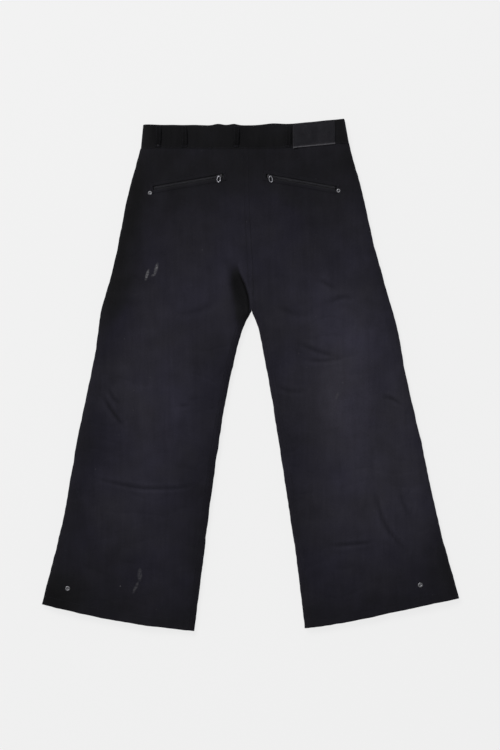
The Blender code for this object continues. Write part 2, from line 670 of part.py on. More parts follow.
# ---- The pants ----------------------------------------------------------------------------
for each in SIDES:
    back_panel(each)
    front_panel(each)
    hand_pocket_bag(each)
    back_pocket_bag(each)
    pocket_zip(each)
    pocket_rivet(each)
    hem_snap(each)
    gaiter(each)
waistband_back()
waistband_fronts()
waist_tab()
stepped_flap("waistband_underlap", -0.0280, 0.0280, 0.0079, FRONT_BAND_HIGH + GAP, 0.0015,
             0.4765, 0.5165)
stepped_flap("fly_shield", -0.0180, 0.0200, 0.0080, SHELL + GAP, LINING, 0.3000, 0.4715)
waist_snap()
belt_loops()
waist_patch()
fly_zip()
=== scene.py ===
"""Ski pants, laid flat on their front with the back side up: the dressed model."""

import json
import math

import bmesh
import bpy
import numpy as np
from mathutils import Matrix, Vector
from mathutils.bvhtree import BVHTree

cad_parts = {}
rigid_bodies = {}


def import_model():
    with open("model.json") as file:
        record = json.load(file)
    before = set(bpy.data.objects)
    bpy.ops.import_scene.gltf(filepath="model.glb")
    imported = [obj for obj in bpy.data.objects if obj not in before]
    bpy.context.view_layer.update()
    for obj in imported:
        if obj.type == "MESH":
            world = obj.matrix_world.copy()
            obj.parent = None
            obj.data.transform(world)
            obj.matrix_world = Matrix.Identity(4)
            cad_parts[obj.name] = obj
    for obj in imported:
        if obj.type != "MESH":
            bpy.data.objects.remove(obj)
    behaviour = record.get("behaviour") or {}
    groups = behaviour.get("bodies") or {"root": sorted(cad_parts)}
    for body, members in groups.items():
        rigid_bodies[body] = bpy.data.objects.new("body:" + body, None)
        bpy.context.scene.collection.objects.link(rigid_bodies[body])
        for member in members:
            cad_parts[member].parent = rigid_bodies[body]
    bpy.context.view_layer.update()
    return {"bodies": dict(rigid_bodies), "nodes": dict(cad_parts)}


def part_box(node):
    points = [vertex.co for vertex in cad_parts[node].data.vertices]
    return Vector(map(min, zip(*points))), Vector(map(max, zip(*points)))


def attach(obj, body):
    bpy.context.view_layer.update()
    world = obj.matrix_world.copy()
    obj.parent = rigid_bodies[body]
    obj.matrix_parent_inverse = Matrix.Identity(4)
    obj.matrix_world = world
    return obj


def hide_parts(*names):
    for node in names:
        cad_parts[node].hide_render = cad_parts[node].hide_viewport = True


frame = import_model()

# ---- Lines of the garment, as part.py has them (metres, seen from above) ----
WAIST_TOP = [(-0.225, 0.524), (-0.1, 0.5225), (0.01, 0.5225), (0.09, 0.5265),
             (0.189, 0.53655), (0.1975, 0.5345)]
WAIST_SEAM = [(-0.23, 0.474), (-0.11, 0.4728), (-0.012, 0.4725), (0.095, 0.475),
              (0.2065, 0.486)]
OUTSEAM = {
    "left": [(-0.23, 0.474), (-0.2585, 0.369), (-0.2856, 0.234), (-0.313, 0.133),
             (-0.3276, 0.033), (-0.362, -0.13), (-0.393, -0.3035), (-0.4368, -0.48)],
    "right": [(0.2065, 0.486), (0.2373, 0.369), (0.262, 0.26), (0.3066, 0.1),
              (0.3255, 0.0), (0.36, -0.15), (0.3927, -0.3035), (0.4368, -0.4673)],
}
INSEAM = {
    "left": [(0.002, 0.1334), (-0.019, 0.086), (-0.0483, -0.0347), (-0.0798, -0.2363),
             (-0.105, -0.438), (-0.1176, -0.53655)],
    "right": [(0.002, 0.1334), (0.019, 0.086), (0.042, -0.0347), (0.0735, -0.2363),
              (0.0966, -0.39), (0.1134, -0.5303)],
}
HEM = {
    "left": [(-0.4368, -0.48), (-0.319, -0.5072), (-0.2184, -0.524), (-0.1176, -0.53655)],
    "right": [(0.4368, -0.4673), (0.2898, -0.4988), (0.189, -0.5198), (0.1134, -0.5303)],
}
SEAT_SEAM = [(-0.012, 0.4725), (-0.0085, 0.36), (-0.002, 0.24), (0.002, 0.1334)]
SIDES = {"left": -1, "right": 1}

POCKET_SLIDER = {"left": (-0.0651, 0.4149), "right": (0.041, 0.4148)}
POCKET_TILT = math.radians(10.0)
ZIP_TURN = {"left": math.pi + POCKET_TILT, "right": -POCKET_TILT}
ZIP_FROM, ZIP_TO = -0.008, 0.14  # the zip's slot, measured along it from the slider
SLOT_HALF = 0.0041

# ---- Heights ----
BACK_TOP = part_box("back_panel_left")[1].z
BAND_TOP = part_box("waistband_back")[1].z
SEAM_Z = 0.0105  # the side seams, half way up the edges
CLOTH, BAND_CLOTH = 0.0016, 0.0026  # thickness of the panels and of the waistband


# ---- Curves and noise ----
def smooth(points, steps=24):
    """The given points joined by a Catmull-Rom curve."""
    knots = np.array(points, float)
    ends = np.vstack([2 * knots[0] - knots[1], knots, 2 * knots[-1] - knots[-2]])
    t = (np.arange(steps) / steps)[:, None]
    spans = []
    for a, b, c, d in zip(ends, ends[1:], ends[2:], ends[3:]):
        spans.append(0.5 * (2 * b + (c - a) * t + (2 * a - 5 * b + 4 * c - d) * t ** 2
                            + (3 * b - a - 3 * c + d) * t ** 3))
    return np.vstack([*spans, knots[-1:]])


def lengths(line):
    """How far along the line each of its points is."""
    return np.concatenate([[0], np.cumsum(np.linalg.norm(np.diff(line, axis=0), axis=1))])


def along(line, fractions):
    """Points at the given fractions of a line's length."""
    s = lengths(line)
    at = np.asarray(fractions) * s[-1]
    return places(*(np.interp(at, s, line[:, k]) for k in range(line.shape[1])))


def evenly(line, spacing):
    """Places along a line, about that far apart."""
    count = max(3, int(round(lengths(line)[-1] / spacing)) + 1)
    return along(line, np.linspace(0, 1, count))


def curve(points, spacing=0.004):
    """Evenly spaced places on a smooth line through the points."""
    return evenly(smooth(points), spacing)


def places(*axes):
    """Points from arrays of their coordinates."""
    return np.stack(axes, axis=-1)


def unit(vectors):
    """The vectors, each made 1 long."""
    return vectors / np.linalg.norm(vectors, axis=1)[:, None]


def sideways(line):
    """The direction to the left of a line, at each of its points."""
    run = unit(np.gradient(line, axis=0))
    return places(-run[:, 1], run[:, 0])


def beside(line, distance):
    """The line moved sideways, to its left if distance is positive."""
    return line + distance * sideways(line)


def circle(count):
    """Angles once round."""
    return 2 * math.pi * np.arange(count) / count


def noise(x, y, seed):
    """Smooth gradient noise, about -1 to 1, one lattice cell to a unit."""
    turn = np.random.RandomState(seed).rand(64, 64) * 2 * math.pi
    x, y = np.asarray(x, float), np.asarray(y, float)
    xi, yi = np.floor(x).astype(int), np.floor(y).astype(int)
    fx, fy = x - xi, y - yi

    def corner(i, j):
        angle = turn[(xi + i) % 64, (yi + j) % 64]
        return np.cos(angle) * (fx - i) + np.sin(angle) * (fy - j)

    ux, uy = fx ** 3 * (fx * (6 * fx - 15) + 10), fy ** 3 * (fy * (6 * fy - 15) + 10)
    low = corner(0, 0) * (1 - ux) + corner(1, 0) * ux
    high = corner(0, 1) * (1 - ux) + corner(1, 1) * ux
    return 1.5 * (low * (1 - uy) + high * uy)


def step(value, low, high):
    """A smooth step from 0 at low to 1 at high. high may be the smaller."""
    t = np.clip((value - low) / (high - low), 0, 1)
    return t * t * (3 - 2 * t)


def bell(value, width):
    """1 where value is 0, falling to nothing a few widths away."""
    return np.exp(-(value / width) ** 2)


def quarter(part):
    """From 0 to 1 along a quarter of a circle, steep at first."""
    return np.sqrt(1 - (1 - np.clip(part, 0, 1)) ** 2)


def distance_to(line, x, y):
    """Distance from each point to a line, and how far along the line, from 0 to 1."""
    shape = np.shape(x)
    p = places(np.ravel(x), np.ravel(y))
    s = lengths(line)
    best, where = np.full(len(p), 9.0), np.zeros(len(p))
    for i, (a, b) in enumerate(zip(line, line[1:])):
        span = b - a
        t = np.clip((p - a) @ span / (span @ span), 0, 1)
        gap = np.linalg.norm(p - a - t[:, None] * span, axis=1)
        near = gap < best
        best = np.where(near, gap, best)
        where = np.where(near, (s[i] + t * (s[i + 1] - s[i])) / s[-1], where)
    return best.reshape(shape), where.reshape(shape)


# ---- The garment's surface ----
BAND_END = {"left": WAIST_TOP[0], "right": WAIST_TOP[-1]}
SIDE_LINES = {side: np.vstack([BAND_END[side], smooth(OUTSEAM[side], 6)]) for side in SIDES}
CROTCH_LINES = {side: smooth(INSEAM[side], 6) for side in SIDES}
HEM_LINES = {side: smooth(HEM[side], 6) for side in SIDES}

# Creases pressed into the back: points, depth and half width
CREASES = [
    ([(-0.04, 0.233), (-0.033, 0.208), (-0.024, 0.178), (-0.009, 0.143)], 0.0062, 0.009),
    ([(-0.023, 0.209), (-0.018, 0.201), (-0.012, 0.188), (-0.0055, 0.17), (-0.002, 0.152),
      (-0.001, 0.134)], 0.006, 0.0024),
    ([(-0.3234, -0.2153), (-0.2898, -0.2249), (-0.2342, -0.2356), (-0.1911, -0.2373),
      (-0.1449, -0.2356), (-0.1176, -0.2279)], 0.0024, 0.0038),
    ([(-0.3087, -0.0431), (-0.286, -0.079), (-0.2604, -0.1124)], 0.0026, 0.0045),
    ([(-0.298, -0.025), (-0.286, -0.048), (-0.27, -0.062)], 0.0018, 0.0045),
    ([(0.2583, -0.2426), (0.2835, -0.3161), (0.3276, -0.3686)], 0.0026, 0.005),
    ([(0.17, -0.358), (0.214, -0.3539), (0.256, -0.35)], 0.0022, 0.0038),
    ([(0.0987, 0.0662), (0.144, 0.049), (0.189, 0.0347)], 0.0022, 0.005),
    ([(0.11, 0.033), (0.148, 0.029), (0.199, 0.035)], 0.0018, 0.004),
    ([(0.278, -0.0473), (0.296, -0.05), (0.318, -0.064)], 0.0024, 0.0036),
    ([(0.1407, 0.1985), (0.16, 0.19), (0.18, 0.178)], 0.002, 0.0045),
    ([(0.165, 0.15), (0.19, 0.162), (0.218, 0.159)], 0.0016, 0.005),
    ([(-0.07, 0.15), (-0.115, 0.133), (-0.16, 0.126)], 0.0012, 0.007),
    ([(0.05, 0.148), (0.09, 0.129), (0.13, 0.124)], 0.0012, 0.007),
    ([(-0.15, -0.064), (-0.137, -0.065), (-0.124, -0.063)], 0.0014, 0.0035),
    ([(0.05, -0.02), (0.08, -0.033), (0.118, -0.035)], 0.0014, 0.005),
    ([(0.31, -0.23), (0.32, -0.27), (0.34, -0.305)], 0.0014, 0.005),
]


def nearest(lines, x, y):
    """Distance from each point to the nearest of some lines, and a length along that line."""
    best, where = np.full(np.shape(x), 9.0), np.zeros(np.shape(x))
    for line in lines:
        gap, part = distance_to(line, x, y)
        where = np.where(gap < best, part * lengths(line)[-1], where)
        best = np.minimum(gap, best)
    return best, where


def seam_distance(x, y):
    """Distance to the nearest side seam or inseam, and a length along it."""
    return nearest((*SIDE_LINES.values(), *CROTCH_LINES.values()), x, y)


def hem_distance(x, y):
    return nearest(HEM_LINES.values(), x, y)[0]


def relief(x, y, edge, where):
    """How far the back stands above its general height: waves, wrinkles, creases, puckers."""
    calm = step(y, 0.36, 0.3) * step(edge, 0.0, 0.03)  # the yoke with its zips lies smooth
    low = step(y, 0.3, 0.12)
    height = 0.0012 * noise(x * 7, y * 6, 1) * calm - 0.001 * low
    bend_x, bend_y = x + 0.02 * noise(x * 9, y * 9, 2), y + 0.02 * noise(x * 9, y * 9, 3)
    across = noise(bend_x * 11, bend_y * 34, 4)
    height += 0.00075 * across * calm * (0.4 + 0.6 * low)
    fold = 1 - np.abs(noise(bend_x * 9 + 5, bend_y * 20, 5))
    height -= 0.0014 * (fold ** 14 - 0.08) * calm * step(noise(x * 6, y * 6, 54), -0.2, 0.5)
    slant = 1 - np.abs(noise((bend_x + 0.6 * bend_y) * 14, (bend_y - 0.5 * bend_x) * 8, 6))
    height -= 0.0013 * (slant ** 16 - 0.08) * calm * step(noise(x * 6, y * 6, 55), -0.1, 0.5)
    height += 0.0002 * noise(x * 70, y * 70, 7) + 0.0001 * noise(x * 170, y * 170, 56)
    pucker = noise(where * 75, edge * 22, 8) + 0.6 * noise(where * 150, edge * 40, 9)
    height += 0.00075 * pucker * np.exp(-edge / 0.02)
    for points, depth, half in CREASES:
        gap, part = distance_to(smooth(points, 5), x, y)
        ends = np.sqrt(np.clip(np.sin(math.pi * np.clip(part, 0.02, 0.98)), 0, 1))
        ends = np.maximum(ends, 0.9 * (depth > 0.005) * part)
        height -= depth * ends * bell(gap, half)
        height += 0.4 * depth * ends * bell(gap - 2.1 * half, 1.1 * half)
    height += 0.0006 * step(nearest(CROTCH_LINES.values(), x, y)[0], 0.0175, 0.016)
    return height


def seam_height(where):
    """Height of the side seams and inseams, at a length along them."""
    return SEAM_Z + 0.0016 * noise(where * 9, where * 0, 11) + 0.0008 * noise(where * 40, 0 * where, 12)


def back_height(x, y, top=None):
    """Height of the back's outer face."""
    edge, where = seam_distance(x, y)
    hem = hem_distance(x, y)
    reach = 0.025 + 0.006 * noise(x * 12, y * 12, 10)
    high = (BACK_TOP if top is None else top) + relief(x, y, edge, where)
    droop = 0.004 + 0.0032 * noise(x * 16, y * 3, 13) + 0.0012 * noise(x * 45, y * 3, 14)
    high = high - droop * step(hem, 0.042, 0.0) + 0.0006 * step(hem, 0.0215, 0.02)
    low = seam_height(where)
    return low + (high - low) * quarter(edge / reach)


def front_height(x, y):
    """Height of the front's outer face, which the garment lies on."""
    edge, where = seam_distance(x, y)
    reach = 0.016 + 0.005 * noise(x * 12, y * 12, 10)
    rise = 0.0004 * (1 + noise(x * 20, y * 20, 15))
    ripple = 0.0014 * step(hem_distance(x, y), 0.03, 0.0) * (1 + noise(x * 22, y * 4, 16))
    low = seam_height(where)
    return low + (0.0003 + rise + ripple - low) * quarter(edge / reach)


def wander(x, y):
    """Shift places by a millimetre or so, because no line of a garment is quite straight."""
    return (x + 0.0009 * noise(x * 25, y * 25, 17) + 0.0005 * noise(x * 80, y * 80, 18),
            y + 0.0007 * noise(x * 25, y * 25, 19) + 0.0005 * noise(x * 80, y * 80, 20))


def seam_y(x):
    """How far up the waist seam is at x."""
    seam = smooth(WAIST_SEAM)
    return np.interp(x, seam[:, 0], seam[:, 1])


# ---- Colour of the cloth at a place ----
FADE_AND_PAINTED_LIGHT = [  # lighter and darker patches, partly faded dye and partly painted light and shade (a pool of light over the thighs and knees, shade towards the waist and edges): centre, half sizes, how much
    ((0.205, -0.01), (0.13, 0.17), 10.5), ((0.2, -0.05), (0.06, 0.12), 6.0),
    ((0.18, 0.13), (0.11, 0.1), 6.0), ((0.02, 0.18), (0.2, 0.13), 5.5),
    ((-0.21, -0.04), (0.12, 0.19), 8.5), ((-0.225, -0.06), (0.06, 0.15), 3.0),
    ((-0.17, 0.18), (0.11, 0.11), 4.0), ((0.255, -0.25), (0.155, 0.13), 12.0),
    ((-0.25, -0.27), (0.11, 0.1), 7.5), ((0.01, 0.31), (0.21, 0.065), 3.0),
    ((-0.06, -0.06), (0.05, 0.24), 3.5), ((0.06, -0.04), (0.05, 0.22), 3.0),
    ((0.33, -0.03), (0.06, 0.16), 6.0), ((-0.2, -0.405), (0.12, 0.08), 4.0),
    ((0.21, -0.39), (0.15, 0.08), 4.0), ((-0.29, 0.22), (0.05, 0.12), -6.0),
    ((-0.25, 0.38), (0.035, 0.09), -5.0), ((-0.41, -0.47), (0.06, 0.06), -5.0),
    ((0.175, -0.045), (0.045, 0.06), 3.5), ((0.25, 0.27), (0.06, 0.09), 5.0),
    ((-0.145, -0.08), (0.035, 0.17), 3.0), ((0.0, 0.44), (0.24, 0.045), -1.8),
    ((0.1, 0.11), (0.05, 0.06), -3.0), ((0.36, -0.2), (0.05, 0.16), 3.0),
]
CROTCH_FOLD = [(-0.027, 0.23), (-0.02, 0.206), (-0.0128, 0.191), (-0.0078, 0.175),
               (-0.004, 0.158), (-0.0028, 0.1334)]


def tone(x, y):
    """How light the cloth is at a place, as a display value from 0 to 255: its dye and fading, with
    painted light and shade laid over them.
    """
    level = 27.0 + 0 * x
    # painted light and shade mixed with the fading: the patches listed above
    for (cx, cy), (sx, sy), amount in FADE_AND_PAINTED_LIGHT:
        level = level + amount * np.exp(-(((x - cx) / sx) ** 2 + ((y - cy) / sy) ** 2) ** 1.4)
    edge, where = seam_distance(x, y)
    # painted shade: darker within a few centimetres of the side seams and inseams
    level = level - 1.2 * np.exp(-edge / 0.02) + 1.0 * noise(x * 30, y * 30, 21)
    # painted shade: the waistband, above the waist seam, is made darker where the light falls off at
    # the top
    level = level + 1.2 * noise(x * 9, y * 7, 22) - 4.0 * step(y - seam_y(x), -0.001, 0.003)
    # painted shadow in the crotch fold: a dark patch left of the fold, a darker line along it, and a
    # painted highlight on the lip to its right
    fold = smooth(CROTCH_FOLD)[::-1]
    gap = distance_to(fold, x, y)[0]
    beside_fold = np.interp(y, fold[:, 1], fold[:, 0]) - x
    left_end = 0.12 * np.maximum(0.19 - y, 0) - 0.05
    shade = step(beside_fold, -0.0012, 0.0012) * step(x - left_end, 0.0, 0.018)
    darkest = 8.8 + 3.6 * step(y, 0.13, 0.19)
    level = level - darkest * shade * step(y, 0.24, 0.202) * step(y, 0.08, 0.13)
    level = level - 7.0 * bell(gap, 0.0024) * step(y, 0.216, 0.205)
    level = level + 3.0 * step(beside_fold, 0.0, -0.002) * bell(gap, 0.012)
    # painted shade along each crease, and a painted highlight on the ridge beside it
    for points, depth, half in CREASES[2:]:  # the first two are the fold at the crotch
        gap, part = distance_to(smooth(points, 5), x, y)
        ends = np.sin(math.pi * np.clip(part, 0.02, 0.98))
        level = level - 2600 * depth * ends * bell(gap, 0.7 * half)
        level = level + 700 * depth * ends * bell(gap - 1.8 * half, half)
    return np.clip(level, 8, 60)


GLOSS = 0.003  # what the cloth's surface sends back before its colour


def store(mesh, name, values):
    """Keep a value for each point on the mesh, for a material to read."""
    held = mesh.attributes.new(name, "FLOAT", "POINT")
    held.data.foreach_set("value", values.astype(np.float32))


def add_tone(mesh, painted_shade=0.0):
    """Store the cloth's reflectance on the points, with its painted light and shade; the second
    argument paints a little more shade over all of it.
    """
    co = np.empty(len(mesh.vertices) * 3)
    mesh.vertices.foreach_get("co", co)
    co = co.reshape(-1, 3)
    display = (tone(co[:, 0], co[:, 1]) - painted_shade) / 255
    linear = np.maximum(((display + 0.055) / 1.055) ** 2.4 - GLOSS, 0.0015)
    store(mesh, "tone", linear)


# ---- Materials ----
class Nodes:
    """A material's node tree, with its Principled shader."""

    def __init__(self, name):
        self.material = bpy.data.materials.new(name)
        self.material.use_nodes = True
        self.tree = self.material.node_tree
        self.shader = self.tree.nodes["Principled BSDF"]
        self.place = self.add("ShaderNodeTexCoord").outputs["Object"]

    def add(self, kind, values=(), **settings):
        """A node with its settings; values are (socket, number or colour or output) pairs."""
        node = self.tree.nodes.new(kind)
        for key, value in settings.items():
            setattr(node, key, value)
        for socket, value in dict(values).items():
            self.put(node.inputs[socket], value)
        return node

    def put(self, socket, value):
        if isinstance(value, bpy.types.NodeSocket):
            self.tree.links.new(value, socket)
        else:
            socket.default_value = value

    def set(self, **values):
        for name, value in values.items():
            self.put(self.shader.inputs[name.replace("_", " ")], value)

    def noise(self, scale, detail=3.0, place=None, rough=0.5):
        return self.add("ShaderNodeTexNoise", {"Vector": place or self.place, "Scale": scale,
                                               "Detail": detail, "Roughness": rough}).outputs["Fac"]

    def maths(self, operation, a, b=0.0, c=0.0):
        node = self.add("ShaderNodeMath", operation=operation)
        for socket, value in zip(node.inputs, (a, b, c)):
            self.put(socket, value)
        return node.outputs[0]

    def times(self, first, *others):
        for other in others:
            first = self.maths("MULTIPLY", first, other)
        return first

    def grey(self, level):
        return self.add("ShaderNodeCombineColor", {0: level, 1: level, 2: level}).outputs[0]

    def spread(self, value, low, high, to_low=0.0, to_high=1.0):
        return self.add("ShaderNodeMapRange", {"Value": value, "From Min": low, "From Max": high,
                                               "To Min": to_low, "To Max": to_high}).outputs[0]

    def held(self, name):
        """What the mesh stores on its points under that name."""
        return self.add("ShaderNodeAttribute", attribute_name=name).outputs["Fac"]

    def mix(self, share, a, b, blend="MIX"):
        node = self.add("ShaderNodeMix", data_type="RGBA", blend_type=blend)
        for socket, value in ((node.inputs[0], share), (node.inputs[6], a), (node.inputs[7], b)):
            self.put(socket, value)
        return node.outputs[2]

    def turned(self, angle, scale=(1, 1, 1)):
        return self.add("ShaderNodeMapping", {"Vector": self.place, "Rotation": (0, 0, angle),
                                              "Scale": scale}).outputs[0]

    def wave(self, period, angle, distortion):
        """Parallel bands across the given direction, period metres apart."""
        return self.add("ShaderNodeTexWave",
                        {"Vector": self.turned(angle), "Scale": 2 * math.pi / (20 * period),
                         "Distortion": distortion, "Detail": 1.0}).outputs["Fac"]

    def blot(self, centre, half, angle):
        """1 in the middle of an oval spot, falling to 0 at its rim."""
        local = self.add("ShaderNodeMapping", {"Vector": self.place, "Location": (*centre, BACK_TOP),
                                               "Rotation": (0, 0, angle),
                                               "Scale": (*half, 0.018)}, vector_type="TEXTURE")
        return self.add("ShaderNodeTexGradient", {"Vector": local.outputs[0]},
                        gradient_type="SPHERICAL").outputs["Fac"]

    def bump(self, height, strength, distance, normal=None):
        values = {"Height": height, "Strength": strength, "Distance": distance}
        if normal is not None:
            values["Normal"] = normal
        return self.add("ShaderNodeBump", values).outputs[0]


def weave(nodes, period):
    """Twill: steep diagonal ribs cut across by the weft."""
    ribs = nodes.wave(period, math.radians(55), 0.6)
    weft = nodes.wave(period * 0.7, math.radians(90), 0.4)
    return nodes.maths("MULTIPLY_ADD", weft, 0.4, ribs)


SCUFFS = [  # pale rubs: centre, half sizes, turn, strength
    ((-0.2163, 0.209), (0.004, 0.015), -0.3, 0.75),
    ((-0.1974, 0.2216), (0.0044, 0.0165), -0.25, 0.85),
    ((-0.204, 0.208), (0.005, 0.003), 0.3, 0.5),
    ((-0.2314, -0.4175), (0.0062, 0.017), -0.02, 0.26),
    ((-0.24, -0.444), (0.0045, 0.017), -0.45, 0.27),
    ((-0.272, -0.441), (0.0018, 0.0018), 0.0, 1.0),
    ((-0.21, -0.0053), (0.0014, 0.0014), 0.0, 0.5),
    ((-0.1008, 0.2615), (0.0014, 0.0014), 0.0, 0.5),
    ((-0.1932, 0.4795), (0.0014, 0.0034), 0.0, 0.35),
    ((0.193, -0.016), (0.0012, 0.002), 0.0, 0.45),
    ((0.181, -0.043), (0.003, 0.012), -0.3, 0.16),
]


def shell_material():
    """Black canvas twill, paler over the knees where it has faded and where a pool of light is painted
    in, with painted shade in the crotch fold and creases, rubs and lint.
    """
    n = Nodes("shell_twill")
    base = n.held("tone")
    broad = n.spread(n.noise(28, 4), 0.3, 0.7, 0.9, 1.1)
    fibre = n.spread(n.noise(420, 5, rough=0.7), 0.25, 0.75, 0.78, 1.22)
    streak = n.spread(n.noise(1.0, 3, n.turned(0.1, (160, 14, 60))), 0.3, 0.7, 0.93, 1.07)
    cloth = weave(n, 0.0009)
    shade = n.times(broad, fibre, streak, n.spread(cloth, 0.0, 1.4, 0.82, 1.16))
    level = n.times(base, shade, LIGHT_SHARE)
    tint = n.mix(n.spread(n.noise(9, 2), 0.35, 0.65), (1.0, 0.945, 1.42, 1), (1.01, 0.96, 1.28, 1))
    tint = n.mix(n.spread(base, 0.0052, 0.0098), (1.0, 0.985, 1.08, 1), tint)
    colour = n.mix(1.0, n.grey(level), tint, "MULTIPLY")
    rub = 0.0
    for centre, half, angle, strength in SCUFFS:
        spot = n.times(n.spread(n.blot(centre, half, angle), 0.05, 0.55), strength)
        rub = n.maths("MAXIMUM", spot, rub)
    patchy = n.spread(n.noise(260, 4), 0.42, 0.62)
    rub = n.times(rub, n.spread(patchy, 0, 1, 0.25, 1.0))
    colour = n.mix(rub, colour, (0.085, 0.084, 0.088, 1))
    lint = n.add("ShaderNodeTexVoronoi", {"Vector": n.place, "Scale": 34.0}).outputs["Distance"]
    lint = n.times(n.maths("LESS_THAN", lint, 0.02), 0.35)
    colour = n.mix(lint, colour, (0.12, 0.12, 0.125, 1))
    pile = n.bump(n.noise(900, 4), 0.35, 0.0003)
    n.set(Base_Color=colour, Roughness=0.95, Specular_IOR_Level=0.04, Sheen_Weight=0.03,
          Sheen_Roughness=0.5, Sheen_Tint=(0.75, 0.72, 0.9, 1),
          Normal=n.bump(cloth, 0.32, 0.0003, n.bump(n.noise(120, 3), 0.25, 0.0008, pile)))
    return n.material


def cloth_material(name, dark, light, period, roughness, sheen, ribs=False):
    """A plain-woven or ribbed cloth."""
    n = Nodes(name)
    warp = n.wave(period, 0.0, 0.3)
    weft = n.wave(period * (3.5 if ribs else 1.0), math.radians(90), 0.3)
    threads = n.times(warp, weft)
    worn = n.spread(n.noise(40, 5), 0.3, 0.7, 0.0, 0.6)
    share = n.maths("ADD", n.times(threads, 0.4), worn)
    n.set(Base_Color=n.mix(share, dark, light), Roughness=roughness, Sheen_Weight=sheen,
          Specular_IOR_Level=0.2,
          Normal=n.bump(threads, 0.6, period * 0.4, n.bump(n.noise(500, 3), 0.3, 0.0003)))
    return n.material


def hide_material():
    """Soft grained hide, pale at its rims: rubbed wear, with a painted highlight along the lifted lower
    edge.
    """
    n = Nodes("patch_hide")
    cells = n.add("ShaderNodeTexVoronoi", {"Vector": n.place, "Scale": 900.0},
                  feature="DISTANCE_TO_EDGE").outputs["Distance"]
    grain = n.spread(cells, 0.0, 0.25)
    cloudy = n.spread(n.noise(60, 5), 0.3, 0.7)
    rim = n.held("rim")
    colour = n.mix(cloudy, (0.0045, 0.0043, 0.0057, 1), (0.007, 0.0067, 0.0086, 1))
    # the pale rim: rubbed wear, and a painted highlight along the lifted lower edge
    colour = n.mix(n.times(rim, n.spread(n.noise(300, 4), 0.3, 0.6, 0.5, 1.0)), colour,
                   (0.06, 0.059, 0.064, 1))
    n.set(Base_Color=colour, Roughness=n.spread(n.noise(90, 4), 0.3, 0.7, 0.5, 0.68),
          Specular_IOR_Level=0.06,
          Normal=n.bump(grain, 0.5, 0.0003, n.bump(n.noise(140, 4), 0.35, 0.0008)))
    return n.material


def metal_material(name, bright, dark, roughness):
    """Antique plating: bright where it is rubbed, dark in its pits."""
    n = Nodes(name)
    pits = n.spread(n.noise(700, 5, rough=0.7), 0.38, 0.62)
    scratch = n.spread(n.noise(1.0, 4, n.turned(0.7, (2600, 160, 700))), 0.45, 0.6)
    hollow = n.spread(n.add("ShaderNodeNewGeometry").outputs["Pointiness"], 0.44, 0.54)
    share = n.times(n.spread(pits, 0, 1, 0.45, 1.0), hollow)
    n.set(Base_Color=n.mix(share, dark, bright), Metallic=1.0,
          Roughness=n.spread(scratch, 0, 1, roughness, roughness + 0.18),
          Normal=n.bump(scratch, 0.15, 0.0001, n.bump(pits, 0.2, 0.0001)))
    return n.material


def cord_material(name, colour, period, roughness):
    """Thread, or the moulded coil of a zip."""
    n = Nodes(name)
    twist = n.wave(period, math.radians(40), 0.2)
    shade = n.spread(n.noise(200, 3), 0.3, 0.7, 0.8, 1.2)
    n.set(Base_Color=n.mix(1.0, colour, n.grey(shade), "MULTIPLY"), Roughness=roughness,
          Specular_IOR_Level=0.1, Normal=n.bump(twist, 0.5, period * 0.3))
    return n.material


LIGHT_SHARE = 0.8  # how much of the studio light the display values already hold
SHELL = shell_material()
LINING = cloth_material("lining_weave", (0.012, 0.012, 0.015, 1), (0.026, 0.026, 0.03, 1),
                        0.0007, 0.75, 0.1)
TAPE = cloth_material("zip_tape", (0.003, 0.003, 0.004, 1), (0.007, 0.007, 0.0085, 1),
                      0.0006, 0.8, 0.05)
ELASTIC = cloth_material("elastic_rib", (0.01, 0.01, 0.012, 1), (0.022, 0.022, 0.025, 1),
                         0.0009, 0.8, 0.1, True)
HIDE = hide_material()
METAL = metal_material("antique_metal", (0.21, 0.21, 0.222, 1), (0.018, 0.017, 0.02, 1), 0.38)
RING_METAL = metal_material("ring_metal", (0.44, 0.44, 0.48, 1), (0.044, 0.043, 0.048, 1), 0.32)
DARK_METAL = metal_material("black_metal", (0.035, 0.034, 0.037, 1), (0.01, 0.01, 0.011, 1), 0.48)
THREAD = cord_material("thread", (0.0085, 0.0082, 0.0108, 1), 0.0006, 0.85)
# the coil's colour is partly its own dark grey, partly a painted highlight: lighter than the tape, to
# give the thin light line along the zip
COIL = cord_material("zip_coil", (0.023, 0.0225, 0.027, 1), 0.0012, 0.55)


# ---- Making meshes ----
def mesh_of(name, grids, surfaces, wrap=True, caps=True):
    """One mesh from grids of points; wrap closes each row, caps closes the first and last."""
    points, faces, start = [], [], 0
    for grid in grids:
        rows, cols = grid.shape[:2]
        index = np.arange(start, start + rows * cols).reshape(rows, cols)
        left = index if wrap else index[:, :-1]
        right = np.roll(index, -1, axis=1) if wrap else index[:, 1:]
        quads = np.stack([left[:-1], right[:-1], right[1:], left[1:]], axis=-1)
        faces += quads.reshape(-1, 4).tolist()
        if wrap and caps:
            faces += [index[0][::-1].tolist(), index[-1].tolist()]
        points.append(grid.reshape(-1, 3))
        start += rows * cols
    mesh = bpy.data.meshes.new(name)
    mesh.from_pydata(np.vstack(points).tolist(), [], faces)
    mesh.polygons.foreach_set("use_smooth", [True] * len(mesh.polygons))
    for surface in surfaces:
        mesh.materials.append(surface)
    return mesh


def outward(mesh):
    """Make the faces of closed shapes look outward."""
    shape = bmesh.new()
    shape.from_mesh(mesh)
    bmesh.ops.recalc_face_normals(shape, faces=shape.faces)
    shape.to_mesh(mesh)
    shape.free()


def turn_faces(mesh, up):
    """Make the faces of an open sheet look up, or down."""
    if (mesh.polygons[len(mesh.polygons) // 2].normal.z > 0) != up:
        mesh.flip_normals()


def put_in(name, data):
    made = bpy.data.objects.new(name, data)
    bpy.context.scene.collection.objects.link(made)
    return made


